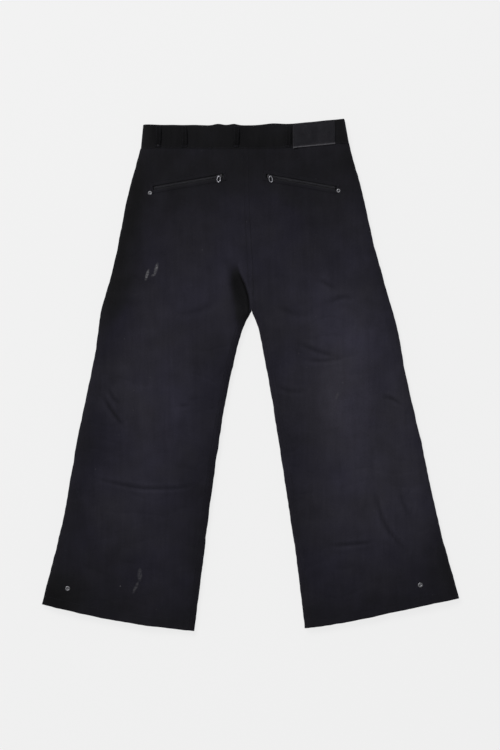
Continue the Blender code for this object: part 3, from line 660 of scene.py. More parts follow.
def show(name, mesh, body="garment", nodes=()):
    """Put a mesh in the scene, riding on its body and standing for its CAD nodes."""
    made = put_in(name, mesh)
    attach(made, body)
    if nodes:
        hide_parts(*nodes)
    return made


def piece(name, grids, surface, body="garment", nodes=(), painted_shade=0.0, caps=True):
    """A closed piece from grids of points, with its tone (painted light and shade included) if it is of
    the shell's cloth.
    """
    mesh = mesh_of(name, grids, [surface], caps=caps)
    outward(mesh)
    if surface == SHELL:
        add_tone(mesh, painted_shade)
    return show(name, mesh, body, nodes)


def thicken(mesh, thick, inside=False, bevel=0.0004):
    """Give an open sheet its thickness, inward, with a soft rim."""
    holder = put_in("thickening", mesh)
    solid = holder.modifiers.new("solid", "SOLIDIFY")
    solid.thickness, solid.offset = thick, -1.0
    solid.material_offset = 1 if inside else 0
    if bevel:
        soft = holder.modifiers.new("soft", "BEVEL")
        soft.width, soft.segments, soft.limit_method = bevel, 2, "ANGLE"
        soft.angle_limit = math.radians(60)
    bpy.context.view_layer.update()
    graph = bpy.context.evaluated_depsgraph_get()
    done = bpy.data.meshes.new_from_object(holder.evaluated_get(graph))
    name = mesh.name
    bpy.data.objects.remove(holder, do_unlink=True)
    bpy.data.meshes.remove(mesh)
    done.name = name
    done.polygons.foreach_set("use_smooth", [True] * len(done.polygons))
    return done


def tube(path, radius, sides=8, up=(0, 0, 1), closed=False, flat=1.0):
    """Rings of points round a path. up is a direction that the path never takes."""
    path = np.asarray(path, float)
    if closed:
        run = np.roll(path, -1, axis=0) - np.roll(path, 1, axis=0)
    else:
        run = np.gradient(path, axis=0)
    run = unit(run)
    side = unit(np.cross(run, np.broadcast_to(up, run.shape)))
    top = np.cross(side, run)
    angle = circle(sides)
    radius = np.broadcast_to(radius, len(path))[:, None, None]
    ring = (np.cos(angle)[None, :, None] * side[:, None] * radius
            + flat * np.sin(angle)[None, :, None] * top[:, None] * radius)
    grid = path[:, None] + ring
    return np.concatenate([grid, grid[:1]]) if closed else grid


def lathe(profile, centre, steps=40):
    """Rings round a vertical axis, from a profile of (radius, height)."""
    profile = np.array(profile, float)
    out, angle = profile[:, 0], circle(steps)
    return places(np.outer(out, np.cos(angle)), np.outer(out, np.sin(angle)),
                  np.repeat(profile[:, 1:], steps, axis=1)) + np.array(centre)


def strip(line, width, thick, heights, corners=3):
    """A flat closed band along a line seen from above: rings of its rounded section."""
    side = sideways(line)
    section = []
    for turn, sx, sz in ((0, 1, 1), (1, -1, 1), (2, -1, -1), (3, 1, -1)):
        for i in range(corners):
            a = math.pi / 2 * (turn + (i + 0.5) / corners)
            section.append((sx * (width / 2 - thick / 2) + thick / 2 * math.cos(a),
                            thick / 2 * math.sin(a)))
    section = np.array(section)
    xy = line[:, None] + side[:, None] * section[None, :, :1]
    z = np.asarray(heights)[:, None] + section[None, :, 1]
    return np.concatenate([xy, z[..., None]], axis=-1)


# ---- The panels ----
ROWS, COLUMNS, SEAT_ROWS = 330, 84, 108


def panel_points(side):
    """The plan of a leg and its half of the seat, as a grid from the outseam inwards."""
    crowd = np.linspace(0, 1, COLUMNS)
    crowd = crowd - 0.55 * np.sin(2 * math.pi * crowd) / (2 * math.pi)
    down = np.linspace(0, 1, ROWS)
    outer = along(smooth(OUTSEAM[side]), down)
    inner = np.vstack([along(smooth(SEAT_SEAM), np.linspace(0, 1, SEAT_ROWS))[:-1],
                       along(smooth(INSEAM[side]), np.linspace(0, 1, ROWS - SEAT_ROWS + 1))])
    seam = smooth(WAIST_SEAM)
    middle = 2 * 24
    waist = along(seam[:middle + 1] if side == "left" else seam[middle:][::-1], crowd)
    hem = along(smooth(HEM[side]), crowd)
    u, v = crowd[None, :, None], down[:, None, None]
    grid = (1 - u) * outer[:, None] + u * inner[:, None]
    grid += (1 - v) * (waist - (1 - crowd[:, None]) * waist[0] - crowd[:, None] * waist[-1])[None]
    grid += v * (hem - (1 - crowd[:, None]) * hem[0] - crowd[:, None] * hem[-1])[None]
    return grid[..., 0], grid[..., 1]


def zip_place(side, x, y):
    """A place measured from a pocket's slider: along its zip, and across it."""
    sx, sy = POCKET_SLIDER[side]
    turn = ZIP_TURN[side]
    run = (x - sx) * math.cos(turn) + (y - sy) * math.sin(turn)
    return run, -(x - sx) * math.sin(turn) + (y - sy) * math.cos(turn)


def zip_line(side, start, end, offset=0.0, spacing=0.004):
    """A line along a pocket's zip, as seen from above."""
    sx, sy = POCKET_SLIDER[side]
    turn = ZIP_TURN[side]
    run = np.linspace(start, end, max(3, int((end - start) / spacing) + 1))
    return places(sx + run * math.cos(turn) - offset * math.sin(turn),
                  sy + run * math.sin(turn) + offset * math.cos(turn))


def drop_points(mesh, gone):
    """Cut the marked points out of a mesh."""
    shape = bmesh.new()
    shape.from_mesh(mesh)
    shape.verts.ensure_lookup_table()
    bmesh.ops.delete(shape, geom=[shape.verts[i] for i in np.flatnonzero(gone)], context="VERTS")
    shape.to_mesh(mesh)
    shape.free()


COVER = []  # the outer faces of the back, for what is sewn on it
UNDER = []  # and of the front


def faces_of(mesh):
    """The points and faces of a mesh, as tree_of takes them."""
    return [v.co.copy() for v in mesh.vertices], [tuple(p.vertices) for p in mesh.polygons]


def tree_of(stored):
    """A search tree over stored faces, for laying things on them."""
    points, faces, start = [], [], 0
    for held, polys in stored:
        points += held
        faces += [tuple(i + start for i in p) for p in polys]
        start += len(held)
    return BVHTree.FromPolygons(points, faces)


def lined_sheet(name, node, points, up, thick=CLOTH, bevel=0.0004,
                zip_side=None):
    """A sheet of the shell's cloth with its lining, from a grid of x, y and z of its outer face.

    zip_side is the side whose pocket zip is let into it.
    """
    mesh = mesh_of(name, [places(*points)], [SHELL, LINING], wrap=False)
    turn_faces(mesh, up)
    (COVER if up else UNDER).append(faces_of(mesh))
    if zip_side:
        run, off = zip_place(zip_side, points[0].ravel(), points[1].ravel())
        drop_points(mesh, (run > ZIP_FROM - 0.001) & (run < ZIP_TO + 0.001)
                    & (np.abs(off) < SLOT_HALF + 0.0002))
    mesh = thicken(mesh, thick, inside=True, bevel=bevel)
    add_tone(mesh)
    made = show(name, mesh, nodes=[node])


def seat_side(x, y):
    """How far a place lies to the right of the seat seam."""
    seam = smooth(SEAT_SEAM)[::-1]
    return x - np.interp(y, seam[:, 1], seam[:, 0])


def lapped(x, y):
    """The left half runs on over the right one: its plan, and how far it stands above it."""
    seam_part = step(y, SEAT_SEAM[3][1] + 0.012, SEAT_SEAM[3][1] + 0.05)
    x = x + 0.0062 * seam_part * bell(seat_side(x, y), 0.014)
    return x, 0.0005 * seam_part * step(seat_side(x, y), -0.009, -0.007)


FLY_EDGE, FLY_LOW = 0.02, 0.28  # the free edge of the fly, and its lower end


def fly_lap(side, x, y):
    """On the front, the left half laps over the zip. The right half ends beside the zip, and
    lies over that lap."""
    seam_x = np.interp(y, [SEAT_SEAM[3][1], SEAT_SEAM[0][1]], [SEAT_SEAM[3][0], SEAT_SEAM[0][0]])
    lap = step(y, FLY_LOW, FLY_LOW + 0.024) * (FLY_EDGE - seam_x)
    fade = bell(seat_side(x, y), 0.055)
    if side == "left":
        return x + lap * fade, 0.0
    edge = step(y, FLY_LOW + 0.004, FLY_LOW + 0.014) * (0.008 - seam_x)
    over = step(x + edge * fade, seam_x + lap + 0.008, seam_x + lap + 0.0015)
    return x + edge * fade, 0.002 * over * step(y, FLY_LOW, FLY_LOW + 0.006)


def pocket_mouth(side):
    """The edge of a hand pocket, from the waist seam to the outseam."""
    away = SIDES[side]
    low_end = {"left": (-0.2655, 0.34), "right": (0.2437, 0.34)}[side]
    return smooth([(away * 0.133, 0.4722), (away * 0.158, 0.395), low_end])


def facing_lift(side, x, y):
    """The facing of a hand pocket lies deeper than the panel that is cut away round it."""
    mouth = pocket_mouth(side)[::-1]
    beyond = SIDES[side] * (x - np.interp(y, mouth[:, 1], mouth[:, 0])) * (y > mouth[0, 1])
    return 0.0015 * step(beyond, 0.0, 0.001) * step(distance_to(mouth, x, y)[0], -0.0005, 0.0022)


def panels(side):
    """The back and front panels of one side, with the outside and the lining in one piece."""
    x, y = panel_points(side)
    wx, wy = wander(x, y)
    back_x, above = lapped(x, y) if side == "left" else (x, 0.0)
    back = (wx + back_x - x, wy, back_height(back_x, y) + above)
    lined_sheet(f"shell_back_{side}", f"back_panel_{side}", back, True,
                zip_side=side)
    front_x, deeper = fly_lap(side, x, y)
    front_z = np.maximum(front_height(x, y), 0.0002) + deeper + facing_lift(side, x, y)
    lined_sheet(f"shell_front_{side}", f"front_panel_{side}", (wx + front_x - x, wy, front_z),
                False)


def seam_allowances():
    """The overlocked edges of the panels, inside the side seams and inseams."""
    cords = []
    for side, away in SIDES.items():
        for line, inward in ((OUTSEAM[side], -away), (INSEAM[side], away)):
            path = beside(curve(line), inward * 0.0017)
            low_z = seam_height(seam_distance(path[:, 0], path[:, 1])[1])
            x, y = wander(path[:, 0], path[:, 1])
            width = 0.0013 + 0.0002 * noise(y * 300, 0 * y, 57)
            cords.append(tube(places(x, y, low_z)[1:-1], width[1:-1]))
    piece("seam_allowances", cords, THREAD)


# ---- Waistband ----
def waistband_back():
    """The back of the waistband, folded down a little at both ends, puffed along its top."""
    ends = 0.5 - 0.5 * np.cos(np.linspace(0, math.pi, 170))
    part = 0.75 * np.linspace(0, 1, 170) + 0.25 * ends
    top, low = along(smooth(WAIST_TOP[:5]), part), along(smooth(WAIST_SEAM), part)
    top[-1], low[-1] = WAIST_TOP[5], WAIST_SEAM[4]
    top[:, 0] = np.interp(part, [0, 0.96, 1], [top[0, 0], along(top, [0.96])[0, 0], 0.1975])
    rise = np.linspace(0, 1, 22)
    x = top[:, None, 0] * rise + low[:, None, 0] * (1 - rise)
    puff = 0.003 * (bell(x + 0.068, 0.012) + bell(x + 0.035, 0.011) + bell(x - 0.046, 0.02))
    puff += 0.0008 * noise(x * 30, 0 * x, 31)
    y = top[:, None, 1] * rise + (low[:, None, 1] - 0.0008) * (1 - rise) + puff * rise ** 2
    edge, where = seam_distance(x, y)
    low_z = seam_height(where)
    swell = 0.001 * np.sin(math.pi * np.clip((rise - 0.06) / 0.86, 0, 1)) ** 0.6
    pucker = 0.0005 * noise(x * 90, rise * 2.0 + 0 * x, 32) + 0.0008 * noise(x * 24, rise + 0 * x, 33)
    z = BAND_TOP + 0.0002 + swell + pucker * np.sin(math.pi * rise) ** 0.5
    z = z - 0.001 * step(rise, 0.93, 1.0)
    z = low_z + (z - low_z) * quarter(edge / 0.022)
    z[0], z[-1] = low_z[0], low_z[-1]
    lined_sheet("waistband_cloth_back", "waistband_back", (x, y, z), True,
                thick=BAND_CLOTH, bevel=0.001)


def waistband_front(side):
    """The front of the waistband, from the side seam to the fly."""
    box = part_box(f"waistband_front_{side}")
    inner = box[1 if side == "left" else 0].x
    end = np.array([WAIST_SEAM[0 if side == "left" else 4], BAND_END[side]])
    part = np.linspace(0, 1, 90)
    rise = np.linspace(0, 1, 14)
    outer_x = end[0, 0] + (end[1, 0] - end[0, 0]) * rise
    x = inner + (outer_x[None, :] - inner) * part[:, None]
    tall = 0.046 + (end[1, 1] - seam_y(end[1, 0]) + 0.0006 - 0.046) * part[:, None] ** 6
    y = seam_y(x) - 0.0006 + tall * rise[None, :] + 0.0008 * noise(x * 24, 0 * x, 34) * rise
    edge, where = seam_distance(x, y)
    z = box[0].z - 0.0004 - 0.0006 * np.sin(math.pi * rise) + 0.0003 * noise(x * 60, y * 60, 35)
    low_z = seam_height(where)
    z = low_z + (z - low_z) * quarter(edge / 0.014)
    z[-1] = low_z[-1]
    lined_sheet(f"waistband_cloth_front_{side}", f"waistband_front_{side}", (x, y, z), False,
                thick=BAND_CLOTH, bevel=0.001)


# ---- Sewing ----
def lay(points, tree, below=False):
    """Heights of the garment's outer face at places seen from above."""
    aim = Vector((0, 0, 1 if below else -1))
    start = -0.02 if below else 0.08
    heights = []
    for x, y in points:
        hit = tree.ray_cast(Vector((x, y, start)), aim)[0]
        heights.append(hit.z if hit else (heights[-1] if heights else 0.01))
    return np.array(heights)


STITCHES = {}
SEAT_ROWS_AT, INSEAM_ROWS_AT, HEM_ROWS_AT = (-0.0046, 0.005), (0.0145, 0.0085), (0.0185, 0.002)


def sew(group, line, below=False, pitch=0.0034, radius=0.0003, lift=0.0001, tree=None):
    """A row of stitches along a line seen from above."""
    tree = tree or (UNDER_TREE if below else COVER_TREE)
    count = max(2, int(lengths(line)[-1] / pitch))
    starts = (np.arange(count) + 0.12) / count
    length = 0.76 / count
    parts = np.array([0.0, 0.18, 0.5, 0.82, 1.0])
    sunk = np.array([-0.9, 0.45, 0.75, 0.45, -0.9]) * radius + lift
    fractions = (starts[:, None] + parts[None] * length).ravel()
    xy = along(line, fractions)
    ends = lay(along(line, (starts[:, None] + np.array([0, 1.0]) * length).ravel()), tree, below)
    ends = ends.reshape(-1, 2)
    z = ends[:, :1] * (1 - parts) + ends[:, 1:] * parts
    z = z + (-sunk if below else sunk)
    path = np.concatenate([xy.reshape(count, 5, 2), z[..., None]], axis=-1)
    STITCHES.setdefault(group, []).extend(tube(p, radius, 5) for p in path)


def tack(group, centre, angle, length, width, lift=0.0002):
    """A bar tack: close zigzag threads."""
    count = int(length / 0.00075)
    run = np.array([math.cos(angle), math.sin(angle)])
    side = np.array([-run[1], run[0]])
    for i in range(count):
        at = np.array(centre) + run * (i / (count - 1) - 0.5) * length
        lean = run * 0.0004
        sew(group, np.array([at - side * width / 2 - lean, at, at + side * width / 2 + lean]),
            pitch=width * 1.01, radius=0.00034, lift=lift)


def finish_sewing():
    """One piece for each group; a group named after a moving body rides on it."""
    for group, grids in STITCHES.items():
        body = group if group in frame["bodies"] else "garment"
        show(f"stitching_{group}", mesh_of(f"stitching_{group}", grids, [THREAD]), body)


# ---- Belt loops and patch ----
def belt_loop(name, x, back):
    """A folded strip, tacked at both ends; the back ones arch over room for a belt."""
    low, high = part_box(f"belt_loop_{name}")
    t = np.linspace(0, 1, 36)
    y = low.y + 0.0004 + (high.y - low.y - 0.0008) * t
    line = places(x + 0.0006 * np.sin(3 * t + x * 40), y)
    if back:
        base = lay(line, COVER_TREE) + 0.0008
        arch = np.sin(math.pi * np.clip((t - 0.1) / 0.8, 0, 1)) ** 0.62
        z = np.minimum(base + 0.0043 * arch, high.z - 0.0008)
    else:
        z = np.maximum(lay(line, UNDER_TREE, True) - 0.0006, 0.0008)
    grid = strip(line, 0.0116, 0.0013, z)
    for k, sign in ((0, 1), (-1, -1)):
        grid[k, :, 1] += sign * 0.0002
        grid[k, :, 2] = z[k] + (grid[k, :, 2] - z[k]) * 0.7
    # painted shade: the loops' cloth is made 3.5 display levels darker, to hold down the light that
    # their raised sides catch
    made = piece(f"loop_{name}", [grid], SHELL, nodes=[f"belt_loop_{name}"], painted_shade=3.5)
    tree = tree_of([faces_of(made.data)])
    for offset in (-0.0036, 0.0036):
        sew("loops", line[2:-2] + [offset, 0], not back, 0.003, 0.00026, 0.0, tree)
    if back:
        for part in (1, -2):
            tack("loops", line[part] + [0, 0.001 if part > 0 else -0.001], 0.0, 0.0098, 0.002,
                 0.0015)


def waist_patch():
    """A blank hide patch: its lower edge stands off and one corner has curled."""
    corners = np.array([(0.089, 0.4745), (0.177, 0.483), (0.1765, 0.5335), (0.0885, 0.5245)])
    u, v = np.meshgrid(np.linspace(0, 1, 60), np.linspace(0, 1, 36), indexing="ij")
    a, b, c, d = corners
    plan = ((1 - u) * (1 - v))[..., None] * a + (u * (1 - v))[..., None] * b
    plan = plan + (u * v)[..., None] * c + ((1 - u) * v)[..., None] * d
    x, y = plan[..., 0], plan[..., 1] - 0.001 * bell(u, 0.1) * (1 - v)
    bed = lay(places(x.ravel(), np.minimum(y, 0.5255 + (x - 0.09) * 0.1).ravel()), COVER_TREE)
    bed = bed.reshape(x.shape)
    z = np.maximum(bed, 0.0246) + 0.0014 + 0.0003 * noise(x * 60, y * 60, 41)
    z += 0.0022 * bell(u, 0.1) * bell(v, 0.16)
    z += 0.0007 * bell(v, 0.06) * (0.6 + 0.4 * np.sin(u * 9))
    mesh = mesh_of("patch", [places(x, y, z)], [HIDE], wrap=False)
    turn_faces(mesh, True)
    tree = tree_of([faces_of(mesh)])
    # the pale rim: strongest along the lower edge, a painted highlight where that lifted edge catches
    # the light, with a little rubbed wear at the top and at one end
    rim = bell(v, 0.045) + 0.15 * bell(1 - v, 0.02)
    rim = np.clip(rim + 0.15 * bell(u, 0.012), 0, 1)
    store(mesh, "rim", rim.ravel())
    mesh = thicken(mesh, 0.0013, bevel=0.0005)
    show("patch", mesh, nodes=["waist_patch"])
    inset = along(np.vstack([corners, corners[:1]]), np.linspace(0, 1, 80))
    middle = corners.mean(axis=0)
    inset = middle + (inset - middle) * np.array([0.93, 0.88])
    sew("patch", inset, tree=tree, lift=0.00005)


# ---- Zips ----
def zip_tape(key, node, line, width, middle):
    made = piece(f"zip_tape_{key}", [strip(line, width, 0.0008, np.full(len(line), middle))], TAPE,
                 nodes=[node])


COIL_PITCH = 0.0013


def zip_coil(key, start, run, up, length, high=0.001):
    """The two interlocked monofilament spirals of a closed zip."""
    start, run, up = (np.array(v, float) for v in (start, run, up))
    side = np.cross(up, run)
    t = np.arange(0, length / COIL_PITCH, 1 / 9)
    grids = []
    for sign, shift in ((-1, 0.0), (1, 0.5)):
        angle = 2 * math.pi * (t + shift) * sign
        off = sign * 0.00062 + 0.0009 * np.cos(angle)
        path = (start + run * (t * COIL_PITCH)[:, None] + side * off[:, None]
                + up * (high * np.sin(angle))[:, None])
        grids.append(tube(path, 0.0003, 5, up=run))
    name = f"zip_coil_{key}"
    show(name, mesh_of(name, grids, [COIL]))


def pocket_zip(side):
    """Tape, coil and the two welts that frame them."""
    turn = ZIP_TURN[side]
    tape_top = BACK_TOP - 0.0016
    line = zip_line(side, ZIP_FROM + 0.003, ZIP_TO - 0.001)
    zip_tape(side, f"back_pocket_zip_{side}", line, 0.025, tape_top - 0.0004)
    zip_coil(side, (*line[0], tape_top + 0.00115), (math.cos(turn), math.sin(turn), 0), (0, 0, 1),
             lengths(line)[-1])
    welts = []
    for sign in (-1, 1):
        middle = sign * (SLOT_HALF + 0.0034)
        line = zip_line(side, ZIP_FROM - 0.003, ZIP_TO + 0.003, middle)
        base = lay(zip_line(side, ZIP_FROM - 0.003, ZIP_TO + 0.003, sign * 0.0085), COVER_TREE)
        base += 0.0001 + 0.00012 * noise(np.arange(len(line)) * 0.7, 0, 51)
        welts.append(strip(line, 0.0068, 0.0013, base))
        for out, lift in ((0.0022, 0.0006), (0.0082, 0.0001)):
            row = zip_line(side, ZIP_FROM - 0.002, ZIP_TO + 0.002, sign * (SLOT_HALF + out))
            sew("pockets", row, pitch=0.0031, lift=lift)
    reach = SLOT_HALF + 0.006
    for at in (ZIP_FROM - 0.0035, ZIP_TO + 0.0035):
        ends = np.array([zip_line(side, at - 1e-4, at + 1e-4, o)[1]
                         for o in np.linspace(-reach, reach, 12)])
        welts.append(strip(ends, 0.006, 0.0012, lay(ends, COVER_TREE) + 0.0002))
        tack("pockets", zip_line(side, at - 1e-4, at + 1e-4)[1], turn + math.pi / 2, 0.013, 0.0024,
             0.0007)
    piece(f"pocket_welts_{side}", welts, SHELL)


def pocket_slider(side):
    """A cast slider: waisted body with flanges, and a bridge for the ring."""
    node = f"back_pocket_slider_{side}"
    foot = np.array([*POCKET_SLIDER[side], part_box(node)[1].z - 0.0034])
    turn = ZIP_TURN[side]
    run = np.array([math.cos(turn), math.sin(turn), 0])
    across = np.array([-math.sin(turn), math.cos(turn), 0])
    up = np.array([0, 0, 1.0])
    t = np.linspace(-1, 1, 25)[:, None]
    half = 0.0036 - 0.0008 * step(abs(t + 0.1), 0.55, 0.0) - 0.0014 * step(t, 0.45, 1.0)
    thick = 0.00075 * np.sqrt(np.maximum(0.02, 1 - abs(t) ** 6))
    c, s = np.cos(circle(20)), np.sin(circle(20))
    out, high = half * np.sign(c) * abs(c) ** 0.35, thick * np.sign(s) * abs(s) ** 0.6
    grids = [foot - 0.0005 * up + 0.0059 * t[..., None] * run + out[..., None] * across
             + high[..., None] * up]
    t = np.linspace(-1, 1, 13)[:, None]
    for sign in (-1, 1):
        wall = foot - 0.0016 * up + 0.0052 * t * run + sign * (0.0025 + 0.0006 * abs(t)) * across
        grids.append(tube(wall, 0.00052, 8, flat=2.0))
    a = np.linspace(0, math.pi, 15)[:, None]
    bridge = foot + 0.0001 * up + np.cos(a) * [0, 0.0019, 0] + 0.0031 * abs(np.sin(a)) ** 0.8 * up
    grids.append(tube(bridge, 0.00062, 10, up=(1, 0, 0)))
    cast = piece(f"slider_{side}", grids, DARK_METAL, node, [node]).data
    cast.materials.append(RING_METAL)
    for face in cast.polygons:
        face.material_index = int(face.center.z > foot[2] + 0.0006)


def pocket_pull(side):
    """The oval ring."""
    node = f"back_pocket_pull_{side}"
    low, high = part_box(node)
    wire = 0.00075
    middle = (low + high) / 2
    half = ((high.x - low.x) / 2 - wire - 0.0006, (high.y - low.y) / 2 - wire,
            (high.z - low.z) / 2 - wire)
    angle = circle(56)
    x, y = half[0] * np.sin(angle), half[1] * (np.cos(angle) - 1)
    askew = SIDES[side] * math.radians(12)  # how it has come to lie in its eye
    path = places(middle.x + x * math.cos(askew) - y * math.sin(askew),
                  middle.y + half[1] + x * math.sin(askew) + y * math.cos(askew),
                  middle.z + half[2] * np.cos(angle) + 0.0003 * (1 - np.cos(angle)))
    piece(f"ring_{side}", [tube(path, wire, 12, closed=True)], RING_METAL, node, [node],
          caps=False)


# ---- Flaps and tabs ----
def soft_strip(run, low, high, mid, thick, corner, lengthwise=0):
    """A flat soft strip: rings of its rounded section, from one softly closed end to the other.

    run holds the rings' places, low and high its two long edges, mid its heights. lengthwise is
    the axis that it runs along, X or Y.
    """
    v = 0.5 - 0.5 * np.cos(np.linspace(0, math.pi, 22))
    across = np.concatenate([v, v[::-1]])
    swell = np.sqrt(1 - np.abs(2 * v - 1) ** 8)
    faces = np.concatenate([swell, -swell[::-1]]) * thick / 2
    end = np.minimum(run - run[0], run[-1] - run)
    shut = 0.12 + 0.88 * quarter(end / (0.6 * thick))
    inset = corner - np.sqrt(np.maximum(corner ** 2 - (corner - np.minimum(end, corner)) ** 2, 0))
    edge_low, edge_high = low + inset, high - inset
    side = edge_low[:, None] + (edge_high - edge_low)[:, None] * across
    along_run = run[:, None] + 0 * side
    up = mid[:, None] + shut[:, None] * faces + 0.00012 * noise(along_run * 90, side * 90, 81)
    return places(side, along_run, up) if lengthwise else places(along_run, side, up)


def soft_run(start, end, count=70):
    """Places along a strip, close together at its ends."""
    return start + (end - start) * (0.5 - 0.5 * np.cos(np.linspace(0, math.pi, count)))


def flap(name, node, body, run, mid, thick, corner, surface, lengthwise=0):
    """Show a soft strip in the place of a flat CAD piece, and give back its faces for sewing."""
    low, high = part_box(node)
    edges = (low[1 - lengthwise], high[1 - lengthwise])
    made = piece(name, [soft_strip(run, *edges, mid, thick, corner, lengthwise)], surface, body,
                 [node])
    return tree_of([faces_of(made.data)])


def tab(name, body, spare, corner, surface, lengthwise=0):
    """A moving tab, spare thinner than its CAD piece. Gives back its box, and faces for sewing."""
    low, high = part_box(body)
    run = soft_run(low[lengthwise], high[lengthwise])
    mid = np.full(len(run), (low.z + high.z) / 2)
    tree = flap(name, body, body, run, mid, high.z - low.z - spare, corner, surface, lengthwise)
    return low, high, tree


def sew_round(group, low, high, inset, tree, below, root=0.0):
    """Stitches round a flap, a little in from its edges, and root more from its low X end."""
    a, b, c, d = low.x + inset + root, high.x - inset, low.y + inset, high.y - inset
    bend = 0.0025
    line = np.array([(a, c + bend), (a + bend, c), (b - bend, c), (b, c + bend), (b, d - bend),
                     (b - bend, d), (a + bend, d), (a, d - bend), (a, c + bend)])
    sew(group, line, below, 0.0031, 0.00026, 0.00005, tree)


def closure():
    """The waist tab, what it closes onto, and the fly's zip with its shield."""
    low, high, tree = tab("tab_waist", "waist_tab", 0.0002, 0.004, SHELL)
    for inset in (0.003, 0.0085):
        sew_round("waist_tab", low, high, inset, tree, True, 0.004)

    for name, node, level, thick in (("underlap", "waistband_underlap", 0.028, 0.0015),
                                     ("shield", "fly_shield", 0.02, 0.0012)):
        low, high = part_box(node)
        run = soft_run(low.x, high.x, 110)
        mid = low.z + (high.z - low.z - thick) * step(run, level + 0.01, level) + thick / 2
        tree = flap(name, node, "garment", run, mid, thick, 0.003, LINING)
        left, right, bottom, top = low.x + 0.0018, high.x - 0.002, low.y + 0.0018, high.y - 0.002
        for edge in ([(left, low.y + 0.002), (left, top)],
                     [(left + 0.0042, low.y + 0.002), (left + 0.0042, top)],
                     [(low.x + 0.002, bottom), (right, bottom)]):
            sew("closure", np.array(edge), False, 0.0026, 0.00024, 0.0, tree)

    low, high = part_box("fly_zip")
    middle = (low.x + high.x) / 2
    line = places(np.full(60, middle), np.linspace(low.y, high.y, 60))
    tape_low = high.z - 0.0008
    zip_tape("fly", "fly_zip", line, high.x - low.x, tape_low + 0.0004)
    zip_coil("fly", (middle, low.y + 0.001, tape_low - 0.0008), (0, 1, 0), (0, 0, -1),
             high.y - low.y - 0.012, 0.0005)


def hem_tab(side):
    """The webbing tab that clips onto the hem snap."""
    body = f"hem_tab_{side}"
    low, high, tree = tab(f"tab_hem_{side}", body, 0.0001, 0.003, ELASTIC, 1)
    for below in (True, False):
        sew_round(body, low, high, 0.002, tree, below)


def front_sewing():
    """The stitching that shows on the front: fly, hand pockets and seams."""
    for x in (-0.014, -0.008):
        sew("fly", curve([(x, 0.47), (x, 0.325), (x + 0.0035, 0.3), (-0.0035, 0.288)], 0.003), True)
    edge = [(FLY_EDGE - 0.0022, 0.47), (FLY_EDGE - 0.0022, FLY_LOW + 0.026)]
    sew("fly", evenly(np.array(edge), 0.003), True)
    rise = curve(SEAT_SEAM)
    rise = rise[rise[:, 1] < FLY_LOW - 0.004]
    for offset in SEAT_ROWS_AT:
        sew("fly", beside(rise, offset)[:-4], True)
    bindings = []
    for side, away in SIDES.items():
        mouth = evenly(pocket_mouth(side), 0.003)
        line = beside(mouth, -away * 0.0026)[1:-3]
        bindings.append(strip(line, 0.0052, 0.0012,
                              np.maximum(lay(line, UNDER_TREE, True) - 0.0001, 0.0006)))
        for inset in (0.0026, 0.009):
            sew("hand_pockets", beside(mouth, -away * inset)[2:-4], True,
                lift=0.0006 if inset < 0.005 else 0.0001)
        for at in (4, -7):
            tack_line = beside(mouth, -away * 0.0058)[at:at + 2]
            sew("hand_pockets", np.vstack([tack_line[0] - [0.004, 0], tack_line[0] + [0.004, 0]]),
                True, 0.0011, 0.00034)
    piece("pocket_bindings", bindings, SHELL)


# ---- Rivets, snaps and their like ----
def donut(name, node, radius, high, stem, dip=0.0004):
    """A donut cap with its pin, standing on the cloth."""
    box_low, box_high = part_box(node)
    x, y = (box_low.x + box_high.x) / 2, (box_low.y + box_high.y) / 2
    foot = lay([(x, y)], COVER_TREE)[0]
    profile = [(0.00001, foot + dip), (0.28 * radius, foot + dip),
               (0.34 * radius, foot + dip + 0.0001)]
    for a in math.pi * (1 - np.arange(11) / 10):
        profile.append((radius * (0.68 + 0.32 * math.cos(a)),
                        foot + dip * a / math.pi + high * math.sin(a) ** 0.8))
    profile += [(0.99 * radius, foot), (0.0011, foot), (0.0011, foot - stem), (0.00001, foot - stem)]
    piece(name, [lathe(profile, (x, y, 0.0))], METAL, nodes=[node])


def hardware():
    """The round caps, and the look of the small metal parts that come from the CAD."""
    for side in SIDES:
        donut(f"rivet_{side}", f"back_pocket_rivet_{side}", 0.0044, 0.0016, 0.0036)
        donut(f"snap_cap_{side}", f"hem_snap_cap_{side}", 0.0053, 0.0018, 0.0032)
    for node in frame["nodes"].values():  # what still shows of the CAD is all small metal parts
        if not node.hide_render and node.material_slots:
            node.material_slots[0].material = METAL


# ---- Inside the legs ----
BAG_CLOTH = 0.0009


def flat_tube(name, centre, turn, length, width, low, high, gather, surface, node):
    """A flattened sleeve, gathered towards its lower end."""
    t = np.linspace(0, 1, 46)
    angle = circle(150)
    c, s = np.cos(angle), np.sin(angle)
    across = np.sign(c) * np.abs(c) ** 0.75 * width / 2
    rise = np.sign(s) * np.abs(s) ** 0.45 * (high - low) / 2
    run = (t - 0.5) * length
    ripple = noise(angle[None] * 9, t[:, None] * 2, 61) * gather * step(t[:, None], 0.9, 0.0)
    ripple = ripple + noise(angle[None] * 4, t[:, None] * 5, 62) * 0.0005
    x = across[None] * (1 + 0 * run[:, None])
    z = (low + high) / 2 + rise[None] * (1 - ripple / 0.02) - ripple * np.abs(s)[None]
    cos, sin = math.cos(turn), math.sin(turn)
    grid = places(centre[0] + x * cos - run[:, None] * sin,
                  centre[1] + x * sin + run[:, None] * cos, z)
    mesh = mesh_of(name, [grid], [surface], caps=False)
    outward(mesh)
    mesh = thicken(mesh, BAG_CLOTH, bevel=0.0002)
    made = show(name, mesh, nodes=[node])


GAITER_LENGTH, GAITER_HEM = 0.15, 0.028


